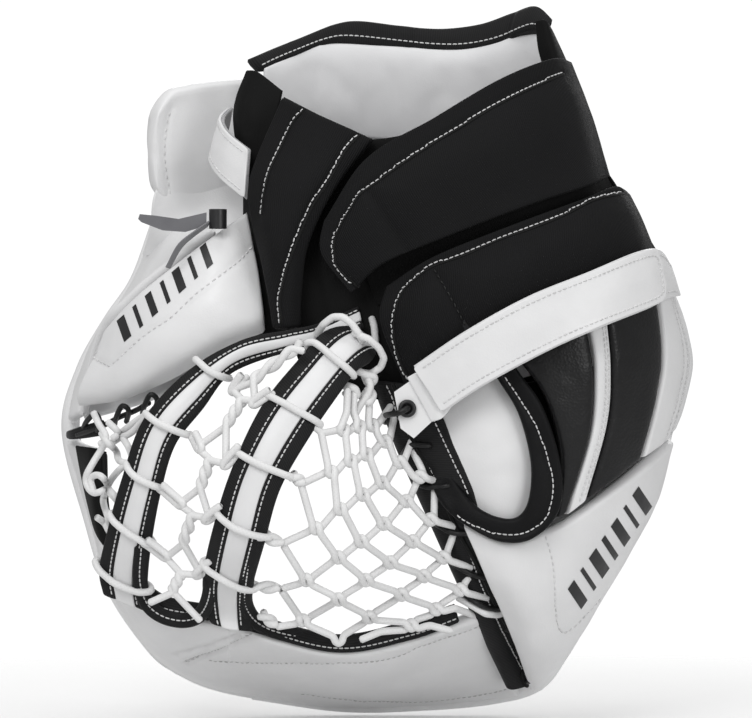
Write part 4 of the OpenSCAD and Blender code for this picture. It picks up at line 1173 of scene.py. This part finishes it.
PULL_NET = [[[-116, -26, -57], [-126, -32, -64], [-136, -34, -72], [-144, -30, -86]],
            [[-118, -24, -61], [-127, -30, -68], [-134, -32, -75], [-141, -29, -87]]]
panel("pull_tab_strip", PULL_NET, 0, 1.2, tab_gray, "pull_tab", step=1.4, edge=0.5)

# ---------- bands, bindings and rim ----------


def band_tape(side, net, body):
    """The binding along the band's edge at the pocket's opening."""
    at, sewn = panel(f"band_tape_{side}", net, -4, 1.3, binding_tape, body, f"band_binding_{side}",
                     window=(0, 1, 0, 0.225), step=1.8, edge=2.4, puff=0.3, reach=3,
                     lines_uv=[[(a, 0.165) for a in np.linspace(0, 1, 9)]], groove=(0.7, 1.2))
    sew(f"band_tape_{side}_stitches", at, sewn, body)


def halfway(p, q):
    """The point midway between p and q."""
    return [(a + b) / 2 for a, b in zip(p, q)]


# The band is one sheet over the break between the thumb and the palm
BAND_ALL = [t[:4] + [halfway(t[4], g[0]), g[1], halfway(g[2], f[0])] + f[1:]
            for t, g, f in zip(band_thumb_net, band_gusset_net, band_finger_net)]
BEAD_SEW = [(-62, -350), (-30, -353.5), (0, -355), (12, -355), (42, -352), (60, -349), (70, -346)]
COLLAR_SEW = [(-119, -329.5), (-104, -330.5), (-88, -331), (-60, -331), (-20, -330), (0, -326),
              (12.4, -320.6), (27, -315.8), (38.5, -312), (49, -308)]
for row in BAND_ALL:
    row.append([row[-1][n] + 0.36 * (row[-1][n] - row[-2][n]) for n in range(3)])
FOLD = [[(-139, -324.3), (-122, -320.4), (-106, -314.5), (-93, -309)],
        [(-133, -330.5), (-111.6, -322.4), (-99, -316.5), (-89, -311)]]
FOLD_RIDGE = [(-134, -327), (-116.8, -321.4), (-102.5, -315.5), (-91, -310)]
BAND_BREAK = ("thumb", "palm", (-0.128, 0.03, -0.33), (-0.097, 0.03, -0.33))
band_at, band_sewn = panel("band_leather", BAND_ALL, -PANEL, 0, white_leather, BAND_BREAK,
                           "rim_band_finger_side rim_band_thumb_side rim_band_gusset",
                           window=(0, 1, 0.235, 1), step=2.6, edge=2.6, puff=0.9, reach=10, wrinkle=0.6,
                           seams=[BEAD_SEW, COLLAR_SEW, FOLD[1]], groove=(0.8, 1.3),
                           creases=[(FOLD[0], 1.6, 1.3), (FOLD[1], 1.4, 1.3), (FOLD_RIDGE, -1.6, 2.0)])
sew("band_stitches", band_at, band_sewn, BAND_BREAK, thread_pale, r=0.35, length=2.4)
FOLD_BEAD = [(-142, 107, -340), (-128, 107, -347), (-112, 107, -352), (-92, 107, -356)]
cords("rim_bead_leather_fold", [FOLD_BEAD], 5.7, white_leather,
      ("thumb", "palm", (-0.135, 0.1, -0.34), (-0.097, 0.1, -0.35)), 14, 3.0)
EDGE_NET = []
for a, b in ((0.0, 0.56), (0.1, 0.54), (0.2, 0.45), (0.3, 0.32), (0.38, 0.2)):
    EDGE_NET.append(on_net(band_thumb_net, np.full(6, a), np.linspace(0.05, b, 6), 1.2).tolist())
panel("thumb_opening_nylon", EDGE_NET, -1.5, 0.6, deep_nylon, "thumb", step=2, edge=1.0)
band_tape("finger_side", band_finger_net, "palm")
band_tape("thumb_side", band_thumb_net, "thumb")
for name, path, body in (("finger", rim_finger_path, "palm"), ("thumb", rim_thumb_path, "thumb")):
    bead = cords(f"rim_bead_leather_{name}", [path], BEAD_R, white_leather, body, 14, 3.0)
    stand_for(bead, f"rim_bead_{name}_side")

# ---------- pocket straps ----------


def ribbon(name, path, wide, body):
    """Binding tape bent along a path, lying in the plane of the opening."""
    q = smooth(np.asarray(path, float), 3.0)[::2]
    t = np.gradient(q, axis=0) * [1, 0, 1]
    out = unit(np.stack([t[:, 2], t[:, 0] * 0, -t[:, 0]], 1)) * wide / 2
    net = np.stack([q + out, q - out], 1).tolist()
    at, sewn = panel(f"opening_corner_tape{name}", net, -3.6, 1.4, binding_tape, body, step=1.8, edge=2.2,
                     puff=0.3, reach=3, groove=(0.7, 1.1),
                     lines_uv=[[(0.5, k) for k in np.linspace(0, 1, 14)]])
    sew(f"opening_corner_stitches{name}", at, sewn, body)


THUMB_ARC = [(-158, -40, -256), (-160, -24, -277), (-157, -14, -291), (-150, -10, -299), (-140, -9, -303),
             (-130, -12, -303), (-122, -20, -298), (-117, -34, -287), (-115, -48, -272)]
FINGER_ARC = [(-91, -68, -262), (-94, -50, -279), (-95, -33, -291), (-91, -20, -301), (-83, -14, -307.5),
              (-72, -11, -311.5), (-58, -10, -314)]
ribbon("", THUMB_ARC, 9.5, ("thumb", "palm", (-0.15, 0, -0.3), (-0.122, 0, -0.3)))
ribbon("_2", FINGER_ARC, 9.5, "palm")


def pocket_strap(side, net, body, wraps):
    """A white strip between two stitched tapes, with laces wrapped round all three."""
    name = f"{side}_pocket_strap"
    for half, a, b, sewn_at in (("left", 0, 0.31, 0.245), ("right", 0.69, 1, 0.755)):
        at, sewn = panel(f"{name}_tape_{half}", net, -4.2, 0.9, binding_tape, body, window=(a, b, 0, 1),
                         step=1.8, edge=2.2, lines_uv=[[(sewn_at, k) for k in np.linspace(0.005, 0.995, 12)]],
                         groove=(0.7, 1.1), puff=0.3, reach=3)
        sew(f"{name}_stitches_{half}", at, sewn, body)
    panel(f"{name}_strip", net, -3.6, 0.2, white_leather, body, f"pocket_strap_{side}_side",
          window=(0.29, 0.71, 0, 1), step=2.0, edge=1.2, wrinkle=0.2)
    whole = net_tree(net, 0.9, 40)
    paths = []
    for line in wraps:
        q = seen(whole, smooth(line, 2.0), near=False)
        _, n = nearest(whole, q)
        n = np.where(n[:, 1:2] < 0, n, -n)
        ends = []
        for p, m, away in ((q[0], n[0], unit(q[0] - q[2])), (q[-1], n[-1], unit(q[-1] - q[-3]))):
            ends.append([p - 7 * m - 2 * away, p + 1.6 * away - 4.6 * m, p + 3.2 * away - 0.6 * m])
        paths.append(np.concatenate([ends[0], (q + n * 2.3)[1:-1:3], ends[1][::-1]]))
    cords(f"{name}_wraps", paths, LACE, lace_white, body)


THUMB_WRAPS = [[(-125, -144), (-118, -150), (-100, -156)], [(-156, -177), (-147, -183), (-127, -191)],
               [(-168, -209), (-161, -216), (-145, -223)], [(-178, -240), (-168, -249), (-154, -257)],
               [(-187, -270), (-177, -279), (-166, -284), (-156, -286)]]
FINGER_WRAPS = [[(-63, -132.5), (-53.5, -133.2), (-47.8, -136.7), (-40, -143), (-31, -150)],
                [(-82, -165), (-70, -171), (-61, -176), (-52, -181)],
                [(-102, -199), (-88, -207), (-68, -215)], [(-114, -236), (-102, -246), (-84, -252)],
                [(-120, -270), (-105, -280), (-91, -285)]]
LONG_THUMB_STRAP = [[[-25, -34, -109], [-24, -36, -115], [-22, -38, -123]],
                    [[-50, -46, -120], [-50, -48, -127], [-50, -48, -135]]] + strap_thumb_net[1:]
LONG_FINGER_STRAP = [[[-21, -38, -127], [-17, -42, -132], [-14, -44, -138]],
                     [[-31, -50, -122], [-24, -58, -129], [-18, -60, -144]],
                     [[-47, -60, -125.5], [-33, -70, -135], [-26, -72, -149]],
                     [[-62, -71, -142], [-48, -78, -151], [-34, -76, -159]]]
LONG_FINGER_STRAP += strap_finger_net[3:]
pocket_strap("thumb", LONG_THUMB_STRAP, ("thumb", "palm", (-0.112, -0.056, -0.158), (-0.062, -0.052, -0.128)),
             THUMB_WRAPS)
pocket_strap("finger", LONG_FINGER_STRAP, "palm", FINGER_WRAPS)

# ---------- index edge lacing ----------


def ropes(name, paths, r, mat, body, nodes="", sides=10, passes=4):
    """Laces along polylines rounded at their corners, without overshoot."""
    parts = []
    for path in paths:
        q = walk(np.asarray(path, float), 0.9)
        for _ in range(passes):
            q[1:-1] = (q[:-2] + 2 * q[1:-1] + q[2:]) / 4
        parts.append(tube_parts(q, r, sides))
    stand_for(join(name, parts, mat, body), nodes)


EDGE_WRAPS = [[(2.5, -200), (6, -195.5), (12, -195.2), (18.5, -196)],
              [(11, -219.5), (16.6, -221.3), (24, -221.2), (30.5, -220.5)],
              [(22.5, -244.5), (30.8, -249.1), (37, -250.2), (42, -250)],
              [(32, -268.3), (40.9, -273.7), (47, -276.2), (52.5, -277.8)],
              [(40.5, -288.5), (47, -293), (54, -296.2), (62.8, -296.6)],
              [(66, -309.5), (71, -311), (76, -318), (77.4, -324.5), (75, -327)],
              [(74, -328), (78.5, -331), (82, -337), (81.5, -341), (79, -342)]]
paths = []
for line in EDGE_WRAPS:
    q = seen(index_at, smooth(line, 1.5))
    out = unit(q[0] - q[1])
    start = [q[0] + out * 1.5 + [0, 6, 0], q[0] + out * 1.6 + [0, 1.0, 0]]
    end = [q[-1] + [0, -1.2, 0], q[-1] + [0, 3.5, 0]]
    paths.append(np.concatenate([start, q[1:-1] + [0, -2.0, 0], end]))
ropes("index_edge_black_lace", paths, 1.75, lace_black, "palm", "index_edge_lace", 8)
anchor = [[4, -61, -172], [4, -66.5, -172], [-1, -67, -174.5], [-6, -60, -175.5], [-9.5, -46, -176.5],
          [-11.5, -30, -179], [-9, -14, -181]]
anchor_cord = cords("strap_anchor_black_lace", [anchor], 1.8, lace_black, "palm", 10, 1.2)
stand_for(anchor_cord, "anchor_lace")

# ---------- laced nets ----------

KNOTS = {
    "U1": (-48, -187), "U2": (-35, -186), "U3": (-25, -184), "U4": (-17, -183),
    "A1": (-60, -219), "A2": (-42.5, -212), "A3": (-30.5, -205), "A4": (-20.7, -201), "A5": (-9, -193),
    "B1": (-52, -247), "B2": (-37, -235), "B3": (-23, -226), "B4": (-11, -218.5), "B5": (0, -206),
    "C1": (-71, -257), "C2": (-38, -265), "C3": (-24, -255), "C4": (-10, -244), "C5": (4, -230),
    "C6": (12.5, -215),
    "D1": (-58, -279), "D2": (-21, -279), "D3": (-6, -268), "D4": (8, -255), "D5": (19, -241.5),
    "E1": (-71, -285), "E2": (-38, -291), "E3": (1, -288), "E4": (15, -276.5), "E5": (27, -265),
    "F1": (-60, -304), "F2": (-19, -302), "F3": (22.5, -297), "F4": (37.5, -285),
    "G1": (-75, -308), "G2": (-38, -316), "G3": (7, -307)}
WIRES = [
    [(-49, -187), "A2", "A3", "B3", "B4", "C5", "C6", (21.5, -217.5)],
    [(-60, -219), "A2", "B2", "B3", "C4", "C5", "D5", (21.5, -223.5)],
    [(-61, -221), "B1", "B2", "C3", "C4", "D4", "D5", (35, -246)],
    [(-72, -256), "B1", "C2", "C3", "D3", "D4", "E5", (33.2, -251)],
    [(-72, -258), "D1", "C2", "D2", "D3", "E4", "E5", (44, -271.5)],
    [(-72, -284), "D1", "E2", "D2", "E3", "E4", "F4", (42.6, -277.5)],
    [(-73, -286), "F1", "E2", "F2", "E3", "F3", "F4", (54, -290.3)],
    [(-76, -308), "F1", "G2", "F2", "G3", "F3", (34, -296.5), (46, -301)],
    [(-58, -180), (-48, -188), "U2", "A3", "A4", "B4", "B5", "C6", (8, -199)],
    [(-32.5, -161), (-33, -175), "U2", "U3", "A4", "A5", "B5", (7.3, -192.5)],
    [(-28.5, -163), (-29, -175), "U3", "U4", "A5", (-3.6, -178)],
    [(-20, -160), (-19, -172), "U4", (-5.5, -171)],
    [(-24, -316), (-12, -311), "G3", (18, -307), (31.5, -310.5)],
]


# One lace's way round a knot: sideways, towards the knot's tip, and out of the net
LOOP = [(-3.4, -2.6, 1.0), (-2.5, -0.4, 1.0), (-2.0, 1.6, 0.7), (0, 2.7, 0.0), (2.0, 1.6, -0.7),
        (2.5, -0.4, -1.0), (3.4, -2.6, -1.0)]


def mesh_net(knots, wires, bvh):
    """Chain-linked laces: where two meet, one hangs down through the other's loop."""
    paths = []
    for wire in wires:
        at = [np.array(knots[w] if isinstance(w, str) else w, float) for w in wire]
        flat, lift = [at[0]], [0.0]
        for k in range(1, len(wire) - 1):
            p, c, n = at[k - 1], at[k], at[k + 1]
            if not isinstance(wire[k], str):
                flat.append(c)
                lift.append(0.0)
                continue
            tip = unit(unit(c - p) + unit(c - n))
            side = np.array([-tip[1], tip[0]])
            side = side if side @ (n - p) > 0 else -side
            f = 2.0 if tip[1] < 0 else -2.0
            for a, b, h in LOOP:
                flat.append(c + side * a + tip * b)
                lift.append(f * h)
        flat.append(at[-1])
        lift.append(0.0)
        q = seen(bvh, flat)
        paths.append(q - np.array(lift)[:, None] * [0, 1, 0])
    return paths


finger_net_at = net_tree(net_finger_net, 0, 30)
net_paths = mesh_net(KNOTS, WIRES, finger_net_at)
# The right ends dive through the index edge, the left ends round the pocket strap
for q in net_paths:
    x, y, z = q[-1] - EYE
    end = seen(index_at, [(EYE[0] - x * EYE[1] / y, EYE[2] - z * EYE[1] / y)])[0]
    if end[0] > -8 and end[2] > -303:
        q[-1] = end + [0, 1.5, 0]
LAST_RUN = [(36, -290), (45, -295), (53, -299.8), (60, -300.6), (64.5, -299), (64.8, -295)]
net_paths.append(seen(index_at, LAST_RUN) + np.array([1, -1.5, -2.4, -2.6, -2.2, 2.0])[:, None] * [0, 1, 0])


def twist(p, q, turns, gap, phase, n=14):
    """Two laces turning round each other from p to q; returns one of them by its phase."""
    p, q = np.asarray(p, float), np.asarray(q, float)
    t = unit(q - p)
    a = unit(np.cross(t, [0, 1.0, 0]))
    b = np.cross(a, t)
    k = np.linspace(0, 1, n)
    ang = phase + 2 * np.pi * turns * k
    return p + k[:, None] * (q - p) + gap * (np.cos(ang)[:, None] * a + np.sin(ang)[:, None] * b)


# Loops over the finger strap's top end, and the knots under it
TOP_LOOPS = [
    [(-51, -50, -127), (-46.7, -62, -121), (-41, -65, -116.5), (-35, -68, -116.5), (-29.5, -69, -120.5),
     (-25, -69, -127), (-23, -62, -131)],
    [(-28, -64, -126), (-24.3, -69, -128), (-19, -69, -130), (-13, -66, -135.5), (-10, -62, -141.5),
     (-12, -58, -147), (-18, -56, -151), (-25, -56, -150)],
    [(-30, -60, -149), (-26, -64, -149), (-20, -62, -152), (-15.5, -60, -152.5), (-16, -58, -156),
     (-20, -57, -157), (-22, -55, -152)],
    [(-34, -66, -158), (-31, -69, -158.5), (-27, -69, -160), (-26, -66, -164), (-31, -64, -165),
     (-34, -64, -162)],
    [(-21, -60, -151), (-18, -62, -158), (-19.5, -62, -163), (-24, -62, -169), (-28, -68, -176)],
    [(-24, -58, -166), (-19, -58, -160), (-16, -58, -164), (-19, -62, -169), (-22, -60, -166)],
    [(-17.5, -32, -117), (-16, -36, -122), (-15.5, -38, -128), (-15, -38, -135)]]
net_paths += [np.array(line, float) for line in TOP_LOOPS]
# From the finger strap's turns to the net: twisted pairs
PAIRS = [((-88, -251), (-73, -256)), ((-92, -283), (-75, -284)), ((-67, -214), (-60, -219)),
         ((-86, -300), (-77, -307))]
for ends in PAIRS:
    a, b = seen(finger_net_at, ends)
    for phase in (0.3, 0.3 + np.pi):
        net_paths.append(twist(a, b, 0.75, 2.0, phase))
ropes("finger_net_lace", net_paths, LACE, lace_white, "palm", "net_finger_side", passes=3)

middle_at = net_tree(net_middle_net, 0, 20)
TWISTS = [((-67, -137), (-90, -154)), ((-98, -168), (-106, -180)), ((-118, -205), (-123, -219)),
          ((-128.5, -239), (-134, -254)), ((-136, -276), (-141, -285))]
left_side = [(-104, -161), (-126, -197), (-137, -232), (-145, -265), (-155, -293)]
right_side = [(-90, -168), (-108, -207), (-118, -241), (-123, -276), (-124, -304)]
mid_paths = []
for phase, turns_at, first in ((0.0, left_side, (-62, -131)), (np.pi, right_side, (-60, -137))):
    path = [seen(middle_at, [first])[0]]
    for (a, b), knot in zip(TWISTS, turns_at):
        p, q = seen(middle_at, [a, b])
        path += list(twist(p, q, 1.0, 2.1, phase))
        path += [seen(middle_at, [knot])[0]]
    mid_paths.append(np.array(path))
LINKS = [((-127, -191), (-124.5, -196.5)), ((-146, -223), (-136.5, -231.5)), ((-155, -257), (-146, -264)),
         ((-83, -164), (-90, -169)), ((-99, -155), (-103, -161)), ((-101, -199), (-108, -207)),
         ((-113, -236), (-119.5, -241)), ((-119, -270), (-125, -275))]
for a, b in LINKS:
    d = unit(np.subtract(b, a).astype(float))
    side = np.array([-d[1], d[0]]) * (1 if a[0] < b[0] else -1)
    a, b = np.array(a, float), np.array(b, float)
    flat = [a - 3 * d + 1.5 * side, a + 1.7 * side, b + 1.5 * d + 1.7 * side, b + 3.2 * d,
            b + 1.5 * d - 1.7 * side, a - 1.7 * side, a - 4 * d - 2.5 * side]
    mid_paths.append(seen(middle_at, flat) + np.array([-2, -1.6, -1.4, 0, 1.6, 2.2, 5])[:, None] * [0, 1, 0])
ropes("middle_net_lace", mid_paths, LACE, lace_white, ("thumb", "palm", (-0.142, -0.06, -0.215),
                                                       (-0.1, -0.07, -0.205)), "net_middle", passes=8)

thumb_net_at = net_tree(net_thumb_net, 0, 20)
THUMB_LACES = [[(-151, -172), (-160, -181), (-167, -188), (-174, -191), (-181, -195), (-186, -194)],
               [(-190, -175), (-187, -182), (-182, -190), (-184, -196), (-190, -206), (-195, -217),
                (-190, -225), (-181, -222)], [(-178, -191), (-172, -187), (-160, -178), (-150, -175)],
               [(-181, -181), (-175, -187), (-169, -195), (-166, -203), (-164, -211)],
               [(-166, -207), (-174, -205), (-176, -199), (-181, -194), (-185, -188)],
               [(-170, -237), (-176, -229), (-181, -222), (-177, -214), (-170, -208), (-164, -210)],
               [(-181, -222), (-175, -229), (-172, -239), (-173, -249)],
               [(-190, -224), (-192, -216), (-186, -214), (-181, -221), (-184, -229), (-181, -240),
                (-179, -252)], [(-173, -246), (-179, -250), (-183, -244), (-188, -240)]]
thumb_paths = []
for n, line in enumerate(THUMB_LACES):
    q = seen(thumb_net_at, smooth(line, 2.0))
    turns = np.pi * (len(line) - 2) * np.linspace(0, 1, len(q))
    swing = (2.2 if n % 2 else -2.2) * np.sin(turns) - 1
    thumb_paths.append(q + swing[:, None] * [0, 1, 0])
ropes("thumb_net_lace", thumb_paths, LACE * 0.95, lace_white, "thumb", "net_thumb_side")
